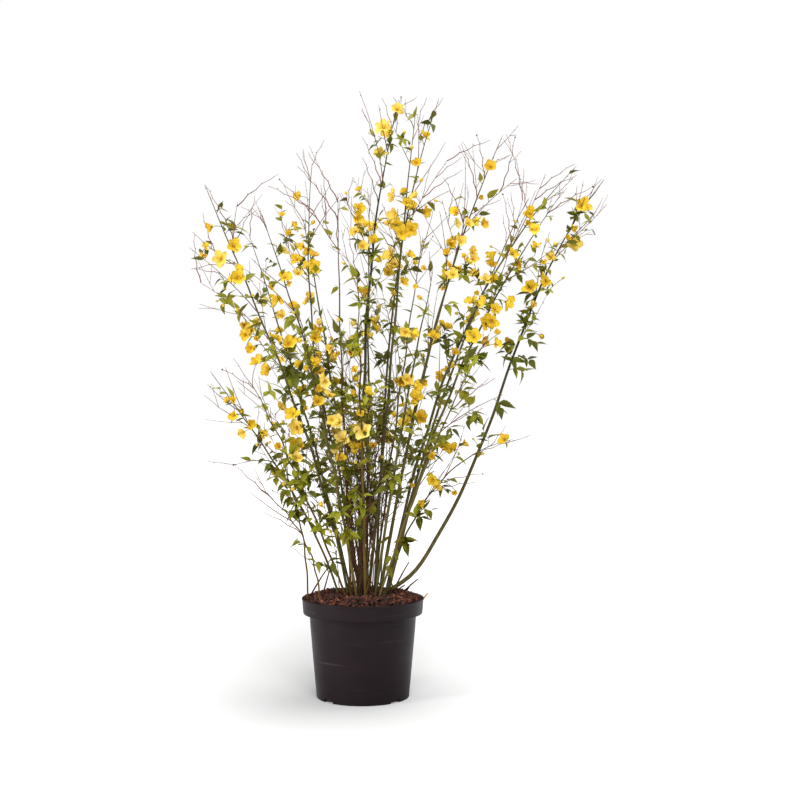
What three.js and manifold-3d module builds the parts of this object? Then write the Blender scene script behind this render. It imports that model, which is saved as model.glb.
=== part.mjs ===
// A golden kerria in a plain black nursery pot: many slender canes fan out of one clump, and each cane
// runs on into a spray of thin side twigs, young leaves and single yellow flowers.
// Millimetres, +Z up. The origin is the middle of the pot's flat underside, and -Y is the front.

import * as THREE from "three";
import { mergeVertices } from "three/addons/utils/BufferGeometryUtils.js";
import Module from "manifold-3d";

const wasm = await Module();
wasm.setup();

// The pot
const POT_HEIGHT = 210;
const RIM_RADIUS = 130;
const LIP_HEIGHT = 33;
const LIP_FOOT_RADIUS = 126.5;
const BODY_TOP_RADIUS = 114;
const FOOT_RADIUS = 98.5;
const WALL = 2.2;
const FLOOR = 3;
const POT_SIDES = 36;
const NOTCHES = 4;
const NOTCH_WIDTH = 28;
const NOTCH_HEIGHT = 8.5;
const NOTCH_DEPTH = 11;
const NOTCH_FIRST = 45;

// The potting soil, a low mound that fills the pot
const SOIL_BELOW_RIM = 3.5;
const MOUND_HEIGHT = 6;
const MOUND_RADIUS = 88;
const CLEARANCE = 0.3;

// The clump and its canes
const CLUMP = [8, 2];
const FOOT_SPREAD = 122;
const AXIS_STEPS = 12;
const HANDLE = 0.36;
const ROOT_FLARE = 1.18;
const TIP_RADIUS = 0.9;
const TAPER = 0.7;
const ZIGZAG = 2.6;
const CANE_SIDES = 5;
const STEM_SIDES = 5;

// The growth along each spray's stem
const JOINT_GAP = 74;
const GOLDEN_ANGLE = 137.5;
const TWIG_EVERY = 3;
const TWIG_LENGTH = 165;
const TWIG_ANGLE = 38;
const TWIG_RADIUS = 1.3;
const TWIG_SIDES = 3;
const SHORTEST_TWIG = 55;
const LEAF_LENGTH = 54;
const LEAF_WIDTH = 0.46;
const LEAF_WIDEST = 0.42;
const LEAF_FOLD = 0.03;
const LEAF_DROOP = 0.07;
const BLOOM_RADIUS = 25;
const BLOOM_STALK = 22;
const BLOOM_CUP = 0.3;
const STALK_ROOT = 5;
const STALK_RADIUS = 1.1;
const BUD_LENGTH = 22;
const PETALS = 5;

// How far growth keeps from the edge of its own space, how far the crown reaches, how far growth may rise above
// its cane's own tip, how far it keeps from other canes, and how far apart the tested points are
const SPACE_MARGIN = 0.9;
const REACH_LEFT = -368;
const REACH_RIGHT = 514;
const OVERTOP = 14;
const LIMB_MARGIN = 1.2;
const TEST_GAP = 9;
const SEAM = 0.02;

// Each cane by the tip it reaches. set and end are how many degrees flatter than its chord a cane sets off and
// arrives, girth is its radius at the foot, and bare is how many of the axis steps run below the first shoot.
// arms are the long side branches: the step that one leaves at, and its tip.
const CANES = [
  { name: "left_low", tip: [-318, -50, 690], set: -12, end: 6, girth: 3.4, bare: 3,
    arms: [[7.0, -279, -74, 489], [9.0, -292, -8, 700]] },
  { name: "left_edge", tip: [-338, 6, 1090], set: -9, end: 3, girth: 4.2, bare: 2,
    arms: [[8.2, -366, -24, 952], [7.4, -352, 40, 884], [10.0, -262, -38, 1046]] },
  { name: "left_dark", tip: [-226, 96, 1042], set: -12, end: 5, girth: 3.4, bare: 2,
    arms: [[8.8, -300, 118, 940]] },
  { name: "left_tall", tip: [-118, 140, 1158], set: 10, end: -18, girth: 3.6, bare: 2,
    arms: [[9.0, -214, 150, 1052], [9.8, -60, 168, 1085]] },
  { name: "left_inner", tip: [-48, -112, 1052], foot: [-24, -32], set: 1, end: -5, girth: 3.2, bare: 2, arms: [] },
  { name: "centre_front", tip: [76, -84, 1250], foot: [-9, -14], set: -3, end: 12, girth: 5.2, bare: 2,
    arms: [[8.0, -88, -96, 1182], [7.0, -172, -52, 1092], [10.2, -4, -108, 1262]] },
  { name: "centre_tall", tip: [112, 6, 1240], foot: [11, 0], set: 1, end: 1, girth: 4.8, bare: 2,
    arms: [[9.0, 214, -46, 1178]] },
  { name: "centre_fork", tip: [164, 74, 1289], foot: [24, 20], set: -4, end: 12, girth: 3.8, bare: 2,
    arms: [[9.0, 262, 60, 1112], [10.2, 118, 108, 1262]] },
  { name: "right_tall", tip: [298, -4, 1194], foot: [36, -4], set: -5, end: 9, girth: 4.6, bare: 2,
    arms: [[9.2, 216, -30, 1150], [9.6, 338, 30, 1112], [8.0, 156, 24, 1072]] },
  { name: "right_fan", tip: [462, 52, 1138], foot: [48, 12], set: -12, end: 20, girth: 4.4, bare: 2,
    arms: [[9.0, 376, 80, 1088], [9.4, 392, 24, 1116]] },
  { name: "right_fan_front", tip: [398, -86, 1036], foot: [52, -14], set: -10, end: 12, girth: 4.2, bare: 2,
    arms: [[8.6, 330, -110, 1040]] },
  { name: "right_sweep", tip: [510, -26, 1096], foot: [62, -2], set: 16, end: 12, girth: 5, bare: 6,
    arms: [[10.6, 462, -52, 1088], [9.6, 474, 6, 990]] },
  { name: "right_low", tip: [314, -66, 548], foot: [46, -30], set: -25, end: 40, girth: 2.6, bare: 3,
    arms: [[7.4, 236, -102, 660]] },
  { name: "front_left", tip: [-116, -296, 800], set: -4, end: 4, girth: 4, bare: 3, arms: [] },
  { name: "front_middle", tip: [-2, -330, 860], set: -6, end: 6, girth: 3.8, bare: 3, arms: [] },
  { name: "front_right", tip: [142, -290, 880], set: -4, end: 4, girth: 4.2, bare: 3, arms: [] },
  { name: "front_right_low", tip: [236, -214, 730], foot: [34, -46], set: -4, end: 6, girth: 3.2, bare: 3,
    arms: [[8.1, 282, -196, 640]] },
  { name: "front_left_low", tip: [-214, -196, 660], set: -3, end: 5, girth: 3.2, bare: 3, arms: [] },
  { name: "back_far_left", tip: [-268, 226, 1010], set: -4, end: 3, girth: 3.6, bare: 2, arms: [] },
  { name: "back_left", tip: [-150, 300, 1060], set: -5, end: 5, girth: 4, bare: 2, arms: [] },
  { name: "back_middle", tip: [6, 318, 1120], set: -4, end: 3, girth: 4, bare: 2, arms: [] },
  { name: "back_middle_right", tip: [132, 262, 1010], set: -2, end: 2, girth: 3.2, bare: 2, arms: [] },
  { name: "back_right", tip: [244, 304, 1080], set: -5, end: 6, girth: 4, bare: 2, arms: [] },
  { name: "back_far_right", tip: [372, 206, 1090], set: -7, end: 8, girth: 4, bare: 2, arms: [] },
  { name: "rim_left", tip: [-168, -95, 516], foot: [-116, -18], set: -16, end: 14, girth: 2.6, bare: 3,
    arms: [[4.6, -214, -92, 400]] },
  { name: "rim_left_inner", tip: [-206, -112, 446], foot: [-88, -60], set: -26, end: 26, girth: 2.4, bare: 3,
    arms: [] },
];

const UP = new THREE.Vector3(0, 0, 1);
const radians = THREE.MathUtils.degToRad;

// A seeded stream of shares from 0 to 1.
function seeded(seed) {
  let state = seed;
  return () => {
    state = (state * 48271) % 2147483647;
    return state / 2147483647;
  };
}

// A closed geometry as a solid for cutting and joining.
function solidOf(geometry) {
  const bare = new THREE.BufferGeometry();
  bare.setAttribute("position", geometry.getAttribute("position"));
  if (geometry.index) bare.setIndex(geometry.index);
  const merged = mergeVertices(bare, 1e-4);
  return new wasm.Manifold(
    new wasm.Mesh({
      numProp: 3,
      vertProperties: merged.attributes.position.array,
      triVerts: new Uint32Array(merged.index.array),
    }),
  );
}

// A solid as a geometry again.
function geometryOf(solid) {
  const { vertProperties, triVerts } = solid.getMesh();
  const geometry = new THREE.BufferGeometry();
  geometry.setAttribute("position", new THREE.BufferAttribute(vertProperties, 3));
  geometry.setIndex(new THREE.BufferAttribute(triVerts, 1));
  geometry.computeVertexNormals();
  return geometry;
}

// Moves each vertex of a geometry to the place that a function gives for it.
function reshape(geometry, place) {
  const { position } = geometry.attributes;
  const at = new THREE.Vector3();
  for (let i = 0; i < position.count; i++) {
    at.fromBufferAttribute(position, i);
    position.setXYZ(i, ...place(at.clone()).toArray());
  }
  return geometry;
}

// Turns a lathed profile of [radius, height] pairs from three.js's +Y up to +Z up.
function lathe(profile) {
  const points = profile.map(([radius, height]) => new THREE.Vector2(radius, height));
  return new THREE.LatheGeometry(points, POT_SIDES).rotateX(Math.PI / 2);
}

// The pot's inside radius at a height above its floor and below its lip.
const LIP_FOOT = POT_HEIGHT - LIP_HEIGHT;

function pot() {
  const shell = lathe([
    [0, 0],
    [FOOT_RADIUS, 0],
    [BODY_TOP_RADIUS, LIP_FOOT],
    [LIP_FOOT_RADIUS, LIP_FOOT],
    [RIM_RADIUS, POT_HEIGHT],
    [RIM_RADIUS - WALL, POT_HEIGHT],
    [LIP_FOOT_RADIUS - WALL, LIP_FOOT + WALL],
    [BODY_TOP_RADIUS - WALL, LIP_FOOT + WALL],
    [FOOT_RADIUS - WALL, FLOOR],
    [0, FLOOR],
  ]);
  let solid = solidOf(shell);
  for (let k = 0; k < NOTCHES; k++) {
    const cutter = new THREE.BoxGeometry(2 * NOTCH_DEPTH, NOTCH_WIDTH, 2 * NOTCH_HEIGHT);
    cutter.translate(FOOT_RADIUS, 0, 0);
    cutter.rotateZ(radians(NOTCH_FIRST + (k * 360) / NOTCHES));
    solid = solid.subtract(solidOf(cutter));
  }
  return geometryOf(solid);
}

const SOIL_EDGE = POT_HEIGHT - SOIL_BELOW_RIM;
const SOIL_TOP = SOIL_EDGE + MOUND_HEIGHT;
const SOIL_EDGE_RADIUS =
  THREE.MathUtils.mapLinear(SOIL_EDGE, LIP_FOOT, POT_HEIGHT, LIP_FOOT_RADIUS, RIM_RADIUS) - WALL - CLEARANCE;

function soil() {
  return lathe([
    [0, FLOOR + CLEARANCE],
    [FOOT_RADIUS - WALL - CLEARANCE, FLOOR + CLEARANCE],
    [BODY_TOP_RADIUS - WALL - CLEARANCE, LIP_FOOT + WALL + CLEARANCE],
    [LIP_FOOT_RADIUS - WALL - CLEARANCE, LIP_FOOT + WALL + CLEARANCE],
    [SOIL_EDGE_RADIUS, SOIL_EDGE],
    [MOUND_RADIUS, SOIL_TOP],
    [0, SOIL_TOP],
  ]);
}

// The height of the soil under a cane's foot.
function soilHeight(x, y) {
  const out = Math.hypot(x, y);
  if (out <= MOUND_RADIUS) return SOIL_TOP;
  return THREE.MathUtils.mapLinear(out, MOUND_RADIUS, SOIL_EDGE_RADIUS, SOIL_TOP, SOIL_EDGE);
}

// Where a cane stands. Those that lean furthest stand furthest out, so that the clump fans out without crossing.
function footOf(cane) {
  const [x, y, z] = cane.tip;
  const [fx, fy] = cane.foot ?? [
    CLUMP[0] + (FOOT_SPREAD * (x - CLUMP[0])) / z,
    CLUMP[1] + (FOOT_SPREAD * (y - CLUMP[1])) / z,
  ];
  const highest = soilHeight(...[fx, fy].map((v) => v * (1 - cane.girth / Math.hypot(fx, fy))));
  return new THREE.Vector3(fx, fy, highest + CLEARANCE);
}

// The direction of a line through points at one of them.
function tangentAt(points, i) {
  const before = points[Math.max(0, i - 1)];
  const after = points[Math.min(points.length - 1, i + 1)];
  return after.clone().sub(before).normalize();
}

// A direction square to another one, as even as possible in all places.
function squareTo(direction) {
  const other = Math.abs(direction.z) < 0.9 ? UP : new THREE.Vector3(1, 0, 0);
  return new THREE.Vector3().crossVectors(other, direction).normalize();
}

// A cane's centre line: a cubic from foot to tip, set off to alternate sides at its joints.
function axisOf(cane, seed) {
  const foot = footOf(cane);
  const tip = new THREE.Vector3(...cane.tip);
  const chord = tip.clone().sub(foot);
  const handle = HANDLE * chord.length();
  const tilt = new THREE.Vector3().crossVectors(UP, new THREE.Vector3(chord.x, chord.y, 0)).normalize();
  const course = chord.clone().normalize();
  const start = course.clone().applyAxisAngle(tilt, radians(cane.set)).multiplyScalar(handle);
  const end = course.clone().applyAxisAngle(tilt, radians(cane.end)).multiplyScalar(handle);
  const curve = new THREE.CubicBezierCurve3(foot, foot.clone().add(start), tip.clone().sub(end), tip);
  const smooth = curve.getPoints(AXIS_STEPS);
  const turn = seeded(seed)() * 360;
  return smooth.map((point, i) => {
    if (i === 0 || i === AXIS_STEPS) return point;
    const tangent = tangentAt(smooth, i);
    const side = squareTo(tangent).applyAxisAngle(tangent, radians(turn));
    const sign = i % 2 ? 1 : -1;
    return point.clone().addScaledVector(side, (sign * ZIGZAG * i) / AXIS_STEPS);
  });
}

// A cane's radius at a share of its length.
function radiusAt(cane, share) {
  return TIP_RADIUS + (cane.girth - TIP_RADIUS) * (1 - share) ** TAPER;
}

// A closed tapering tube: a cylinder, or a cone where it ends in a point, bent so that each ring sits on a point.
function tube(points, radii, sides, tangents) {
  const steps = points.length - 1;
  const pointed = radii[steps] === 0;
  const along = tangents ?? points.map((_, i) => tangentAt(points, i));
  const normals = [squareTo(along[0])];
  for (let i = 1; i <= steps; i++) {
    const last = normals[i - 1].clone();
    normals.push(last.addScaledVector(along[i], -last.dot(along[i])).normalize());
  }
  const geometry = pointed
    ? new THREE.ConeGeometry(1, 1, sides, steps)
    : new THREE.CylinderGeometry(1, 1, 1, sides, steps);
  return reshape(geometry, ({ x, y, z }) => {
    const ring = Math.round((y + 0.5) * steps);
    const out = Math.hypot(x, z);
    const place = points[ring].clone();
    if (out < 1e-6) return place;
    const binormal = new THREE.Vector3().crossVectors(normals[ring], along[ring]);
    place.addScaledVector(normals[ring], (radii[ring] * x) / out);
    return place.addScaledVector(binormal, (radii[ring] * z) / out);
  });
}

// A leaf: a flattened tetrahedron from root to tip, folded up along its rib to its two widest points.
function leaf({ root, course, face, length }) {
  const side = new THREE.Vector3().crossVectors(course, face).normalize();
  const upper = new THREE.Vector3().crossVectors(side, course).normalize();
  return reshape(new THREE.TetrahedronGeometry(1), ({ x, y, z }) => {
    const place = root.clone();
    if (z > 0 && x > 0) return place;
    if (z > 0) return place.addScaledVector(course, length).addScaledVector(upper, -LEAF_DROOP * length);
    place.addScaledVector(course, LEAF_WIDEST * length).addScaledVector(upper, LEAF_FOLD * length);
    return place.addScaledVector(side, (Math.sign(x) * LEAF_WIDTH * length) / 2);
  });
}

// A closed skin over rings of points, from a point at its foot to a point at its head. Each ring has as many
// points as the one below it, or a multiple of them.
function skin(foot, rings, head) {
  const points = [foot, ...rings.flat(), head];
  const starts = rings.map((_, i) => 1 + rings.slice(0, i).flat().length);
  const at = (i, k) => starts[i] + (k % rings[i].length);
  const index = [];
  rings[0].forEach((_, k) => index.push(0, at(0, k + 1), at(0, k)));
  for (let i = 1; i < rings.length; i++) {
    const share = rings[i].length / rings[i - 1].length;
    rings[i].forEach((_, k) => {
      const below = Math.floor(k / share);
      index.push(at(i - 1, below), at(i, k + 1), at(i, k));
      if (k % share === share - 1) index.push(at(i - 1, below), at(i - 1, below + 1), at(i, k + 1));
    });
  }
  const last = rings.length - 1;
  rings[last].forEach((_, k) => index.push(points.length - 1, at(last, k), at(last, k + 1)));
  const geometry = new THREE.BufferGeometry().setFromPoints(points);
  return geometry.setIndex(index);
}

// A ring of points about a direction.
function ringAbout(middle, course, radius, count) {
  const across = squareTo(course).multiplyScalar(radius);
  return Array.from({ length: count }, (_, k) =>
    middle.clone().add(across.clone().applyAxisAngle(course, radians((k * 360) / count))),
  );
}

// An open flower on its stalk: a shallow dish of five broad petals, whose corners and notches are its rim.
const PETAL_RIM = [
  [-36, 0.55, 0.5],
  [-20, 1, 1],
  [20, 1, 1],
];

function bloom({ root, course, size }) {
  const up = (height) => root.clone().addScaledVector(course, height);
  const across = squareTo(course);
  const rim = Array.from({ length: PETALS }, (_, petal) =>
    PETAL_RIM.map(([turn, reach, lift]) => {
      const spoke = across.clone().applyAxisAngle(course, radians(36 + (petal * 360) / PETALS + turn));
      return up(BLOOM_STALK + lift * BLOOM_CUP * size).addScaledVector(spoke, reach * size);
    }),
  ).flat();
  const stalk = [STALK_ROOT, BLOOM_STALK - 2.5].map((height) => ringAbout(up(height), course, STALK_RADIUS, 3));
  return skin(root, [...stalk, rim], up(BLOOM_STALK + 1));
}

// A bud or half-open flower on a stalk of its own.
function bud({ root, course, size }) {
  const up = (share) => root.clone().addScaledVector(course, share * size);
  return skin(root, [ringAbout(up(0.66), course, 0.2 * size, 3)], up(1));
}

const axes = CANES.map((cane, i) => axisOf(cane, 101 + 17 * i));

// The nearest distance from a point to a stretch of a centre line.
function distanceTo(axis, point, from = 0, to = AXIS_STEPS) {
  let least = Infinity;
  for (let i = from; i < to; i++) {
    const line = new THREE.Line3(axis[i], axis[i + 1]);
    least = Math.min(least, line.closestPointToPoint(point, true, new THREE.Vector3()).distanceTo(point));
  }
  return least;
}

// Whether a point lies in a cane's own space: nearer to its axis than to any other, and clear of every limb.
function inSpace(own, point) {
  if (point.z < SOIL_TOP + 20 || point.z > CANES[own].tip[2] + OVERTOP) return false;
  if (point.x < REACH_LEFT || point.x > REACH_RIGHT) return false;
  const near = distanceTo(axes[own], point);
  if (distanceTo(axes[own], point, 0, CANES[own].bare) < CANES[own].girth + LIMB_MARGIN) return false;
  return axes.every((axis, i) => {
    if (i === own) return true;
    const far = distanceTo(axis, point);
    return far - near > 2 * SPACE_MARGIN && far > CANES[i].girth + LIMB_MARGIN;
  });
}

// A point and a direction on a line through points, at a share of its steps.
function placeOn(points, share) {
  const i = Math.min(points.length - 2, Math.floor(share * (points.length - 1)));
  const part = share * (points.length - 1) - i;
  const course = points[i + 1].clone().sub(points[i]).normalize();
  return { at: points[i].clone().lerp(points[i + 1], part), course };
}

// A twig's centre line, from a place on its parent to a tip, bowed a little upwards, cut where its space ends.
function twigLine(own, from, course, tip) {
  const reach = tip.distanceTo(from);
  const curve = new THREE.QuadraticBezierCurve3(from, from.clone().addScaledVector(course, reach * 0.45), tip);
  const tests = Math.max(2, Math.ceil(reach / TEST_GAP));
  let share = 1;
  for (let i = 1; i <= tests; i++) {
    if (!inSpace(own, curve.getPoint(i / tests))) {
      share = (i - 1) / tests;
      break;
    }
  }
  if (share * reach < SHORTEST_TWIG) return null;
  return [0, 0.5, 1].map((part) => curve.getPoint(part * share));
}

// The direction that growth takes out of a parent: turned about it, and away from it by an angle.
function outOf(course, turn, angle) {
  const side = squareTo(course).applyAxisAngle(course, radians(turn));
  return course.clone().multiplyScalar(Math.cos(radians(angle))).addScaledVector(side, Math.sin(radians(angle)));
}

// A leaf, if all of it stays in its cane's space.
function tryLeaf(own, grown, root, course, size) {
  const side = new THREE.Vector3().crossVectors(course, UP).normalize();
  const face = new THREE.Vector3().crossVectors(side, course).normalize();
  const length = LEAF_LENGTH * size;
  const tests = [
    [LEAF_WIDEST, -0.5 * LEAF_WIDTH, LEAF_FOLD],
    [LEAF_WIDEST, 0.5 * LEAF_WIDTH, LEAF_FOLD],
    [0.7, -0.25 * LEAF_WIDTH, 0],
    [0.7, 0.25 * LEAF_WIDTH, 0],
    [1, 0, -LEAF_DROOP],
  ].map(([along, out, up]) =>
    root
      .clone()
      .addScaledVector(course, along * length)
      .addScaledVector(side, out * length)
      .addScaledVector(face, up * length),
  );
  const fits = tests.every((point) => inSpace(own, point));
  if (fits) grown.leaves.push({ root, course, face, length });
  return fits;
}

// A flower, or a bud where the flower doesn't fit or isn't out yet.
function tryBloom(own, grown, root, course, size, open) {
  const radius = BLOOM_RADIUS * size;
  const across = squareTo(course);
  const rim = Array.from({ length: 3 * PETALS }, (_, k) => {
    const spoke = across.clone().applyAxisAngle(course, radians((k * 360) / (3 * PETALS)));
    return root
      .clone()
      .addScaledVector(course, BLOOM_STALK + BLOOM_CUP * radius)
      .addScaledVector(spoke, radius);
  });
  if (open) {
    if (rim.every((point) => inSpace(own, point))) grown.blooms.push({ root, course, size: radius });
    return;
  }
  const length = BUD_LENGTH * size;
  if (inSpace(own, root.clone().addScaledVector(course, length))) {
    grown.buds.push({ root, course, size: length });
  }
}

// All that grows on a cane's stem above its bare limb, by one seeded rule.
function growthOf(own) {
  const cane = CANES[own];
  const axis = axes[own];
  const draw = seeded(977 + 31 * own);
  const grown = { twigs: [], leaves: [], blooms: [], buds: [] };

  const addTwig = (step, course, tip) => {
    const { at } = placeOn(axis, step / AXIS_STEPS);
    const line = twigLine(own, at, course, tip);
    if (!line) return null;
    const thick = Math.min(radiusAt(cane, step / AXIS_STEPS) * 0.8, TWIG_RADIUS);
    grown.twigs.push({ line, thick });
    return line;
  };

  const dress = (line, shares, bloomShare) => {
    for (const share of shares) {
      const { at, course } = placeOn(line, share);
      const turn = draw() * 360;
      const size = 0.75 + 0.4 * draw();
      const flowers = draw();
      tryLeaf(own, grown, at, lifted(outOf(course, turn, 52), 0.1), size);
      const towards = lifted(outOf(course, turn + 150, 60), 0.25);
      if (flowers < bloomShare) tryBloom(own, grown, at, towards, size, flowers < bloomShare * 0.7);
    }
  };

  for (const [step, ...tip] of cane.arms) {
    const { at, course } = placeOn(axis, step / AXIS_STEPS);
    const towards = new THREE.Vector3(...tip).sub(at).normalize().lerp(course, 0.35).normalize();
    const line = addTwig(step, towards, new THREE.Vector3(...tip));
    if (line) dress(line, [0.22, 0.5], 0.6);
  }

  const joints = Math.round(distanceAlong(axis.slice(cane.bare)) / JOINT_GAP);
  for (let k = 0; k < joints; k++) {
    const up = (k + 0.6) / joints;
    const step = cane.bare + up * (AXIS_STEPS - cane.bare);
    const { at, course } = placeOn(axis, step / AXIS_STEPS);
    const turn = k * GOLDEN_ANGLE + draw() * 40;
    const size = 0.8 + 0.4 * draw();
    const flowers = draw();
    if (k % TWIG_EVERY === 1) {
      const length = TWIG_LENGTH * (0.62 + 0.4 * Math.sin(Math.PI * Math.min(1, up + 0.15))) * size;
      for (const swing of [0, 75, -75, 150]) {
        const towards = outOf(course, turn + swing, TWIG_ANGLE);
        const tip = at.clone().addScaledVector(lifted(towards, 0.18), length);
        const line = addTwig(step, towards, tip);
        if (line) {
          dress(line, [0.3, 0.6], 0.45);
          break;
        }
      }
    } else {
      const towards = lifted(outOf(course, turn, 58), 0.05);
      if (!tryLeaf(own, grown, at, towards, size)) tryLeaf(own, grown, at, towards, size * 0.6);
      if (flowers < 0.62 && up > 0.12) {
        tryBloom(own, grown, at, lifted(outOf(course, turn + 75, 66), 0.1), size, flowers < 0.5);
      } else {
        tryLeaf(own, grown, at, lifted(outOf(course, turn + 160, 62), 0), size * 0.9);
      }
    }
  }
  return grown;
}

function distanceAlong(points) {
  return points.slice(1).reduce((sum, point, i) => sum + point.distanceTo(points[i]), 0);
}

// A direction turned a little towards the light.
function lifted(course, share) {
  return course.clone().addScaledVector(UP, share).normalize();
}

// The bare lower limb of a cane, from its flat cut on the soil to where its spray begins.
function limb(own) {
  const cane = CANES[own];
  const points = axes[own].slice(0, cane.bare + 1);
  const tangents = points.map((_, i) => (i === 0 ? UP : tangentAt(axes[own], i)));
  const radii = points.map((_, i) => radiusAt(cane, i / AXIS_STEPS) * (i === 0 ? ROOT_FLARE : 1));
  return tube(points, radii, CANE_SIDES, tangents);
}

// The spray above it, fused into one solid. Loose scraps and sealed hollows are left out.
function spray(own) {
  const cane = CANES[own];
  const points = axes[own].slice(cane.bare).map((point) => point.clone());
  const tangents = points.map((_, i) => tangentAt(axes[own], cane.bare + i));
  points[0].addScaledVector(tangents[0], CLEARANCE);
  const radii = points.map((_, i) => radiusAt(cane, (cane.bare + i) / AXIS_STEPS));
  radii[radii.length - 1] = 0;
  const grown = growthOf(own);
  const twigs = grown.twigs.map(({ line, thick }) => tube(line, [thick, thick * 0.8, 0], TWIG_SIDES));
  const geometries = [
    tube(points, radii, STEM_SIDES, tangents),
    ...twigs,
    ...grown.leaves.map(leaf),
    ...grown.blooms.map(bloom),
    ...grown.buds.map(bud),
  ];
  const fused = wasm.Manifold.union(geometries.map(solidOf)).simplify(SEAM);
  const sewn = solidOf(geometryOf(fused));
  const bodies = sewn.decompose().sort((a, b) => b.volume() - a.volume());
  return geometryOf(bodies[0]);
}

const materials = {
  pot: new THREE.MeshStandardMaterial({ color: "#2a2728", roughness: 0.5, metalness: 0 }),
  soil: new THREE.MeshStandardMaterial({ color: "#4d2a20", roughness: 0.95, metalness: 0 }),
  cane: new THREE.MeshStandardMaterial({ color: "#5a6634", roughness: 0.6, metalness: 0 }),
  spray: new THREE.MeshStandardMaterial({ color: "#b9a51f", roughness: 0.7, metalness: 0 }),
};

function part(name, geometry, material) {
  const mesh = new THREE.Mesh(geometry, material);
  mesh.name = name;
  return mesh;
}

const kerria = new THREE.Group();
kerria.add(part("pot", pot(), materials.pot));
kerria.add(part("soil", soil(), materials.soil));
CANES.forEach((cane, own) => {
  kerria.add(part(`cane_${cane.name}`, limb(own), materials.cane));
  kerria.add(part(`spray_${cane.name}`, spray(own), materials.spray));
});

export default kerria;
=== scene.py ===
# A golden guinea kerria in flower, grown on in a nursery pot. Slender canes fan out of bark mulch into fine
# red-brown twigs, tufts of toothed leaves and single yellow blossom. Lengths are in millimetres until a
# mesh is made.
import functools
import itertools
import math
from collections import namedtuple

import bmesh
import bpy
import numpy as np
from mathutils import Matrix, Vector, noise


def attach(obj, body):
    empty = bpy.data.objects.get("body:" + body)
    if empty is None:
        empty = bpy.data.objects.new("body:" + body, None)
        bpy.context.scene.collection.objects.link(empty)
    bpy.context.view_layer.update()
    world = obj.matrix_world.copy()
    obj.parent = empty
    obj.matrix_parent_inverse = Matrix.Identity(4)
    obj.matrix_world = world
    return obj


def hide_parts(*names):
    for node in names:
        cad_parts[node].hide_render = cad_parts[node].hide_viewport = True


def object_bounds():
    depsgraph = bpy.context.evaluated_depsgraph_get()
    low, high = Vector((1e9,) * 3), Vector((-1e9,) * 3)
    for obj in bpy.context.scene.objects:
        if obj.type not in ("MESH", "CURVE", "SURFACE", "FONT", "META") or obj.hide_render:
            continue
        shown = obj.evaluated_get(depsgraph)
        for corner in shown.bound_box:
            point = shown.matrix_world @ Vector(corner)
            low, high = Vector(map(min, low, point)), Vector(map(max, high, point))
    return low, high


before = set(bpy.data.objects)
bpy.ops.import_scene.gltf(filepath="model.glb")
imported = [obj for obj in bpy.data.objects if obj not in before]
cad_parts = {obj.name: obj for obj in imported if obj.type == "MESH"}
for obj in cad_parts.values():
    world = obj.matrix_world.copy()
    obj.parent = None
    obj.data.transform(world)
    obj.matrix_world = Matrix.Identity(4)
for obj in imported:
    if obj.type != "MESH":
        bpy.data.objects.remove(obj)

bl_info = {
    "name": "Potted Golden Kerria",
    "version": (1, 0, 0),
    "blender": (4, 5, 0),
    "location": "3D View > Sidebar > Kerria",
    "description": "Grows a flowering kerria in a black nursery pot",
    "category": "Mesh",
}

# A millimetre, and how near two points lie that are one, in metres.
MM = 0.001
MERGE = 1e-6
CAD_BOX = [list(corner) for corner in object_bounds()]
LOW, HIGH = (np.array(corner) / MM for corner in CAD_BOX)

# The pot, the soil and the rule of growth, as the solids have them.
LIP_FOOT = 177.0
LIP_FOOT_RADIUS = 126.5
BODY_TOP_RADIUS = 114.0
FOOT_RADIUS = 98.5
WALL = 2.2
FLOOR = 3.0
NOTCH_HEIGHT = 8.5
NOTCH_DEPTH = 11.0
SOIL_EDGE = 206.5
SOIL_TOP = 212.5
SOIL_EDGE_RADIUS = 127.1
MOUND_RADIUS = 88.0
CLEARANCE = 0.3
CLUMP = (8.0, 2.0)
FOOT_SPREAD = 122.0
AXIS_STEPS = 12
HANDLE = 0.36
TIP_RADIUS = 0.9
TAPER = 0.7
ZIGZAG = 2.6
JOINT_GAP = 74.0
GOLDEN_ANGLE = 137.5
TWIG_LENGTH = 165.0
TWIG_ANGLE = 38.0
TWIG_RADIUS = 1.3
SHORTEST_TWIG = 55.0
SPACE_MARGIN = 0.9
REACH_LEFT = -368.0
REACH_RIGHT = 514.0
OVERTOP = 14.0
LIMB_MARGIN = 1.2
TEST_GAP = 9.0
LEAF_LENGTH = 54.0
BLOOM_RADIUS = 25.0
STALK = 22

# The picture's camera: how far in front, aside and up it stands, what a pixel covers at the plant's middle,
# and the picture's own middle in pixels.
CAMERA_BACK = 2800.0
CAMERA_ASIDE = 79.0
CAMERA_HEIGHT = 630.0
PIXEL = 2.13
MIDDLE = 400

UP = np.array([0.0, 0.0, 1.0])
ACROSS = np.array([1.0, 0.0, 0.0])

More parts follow.
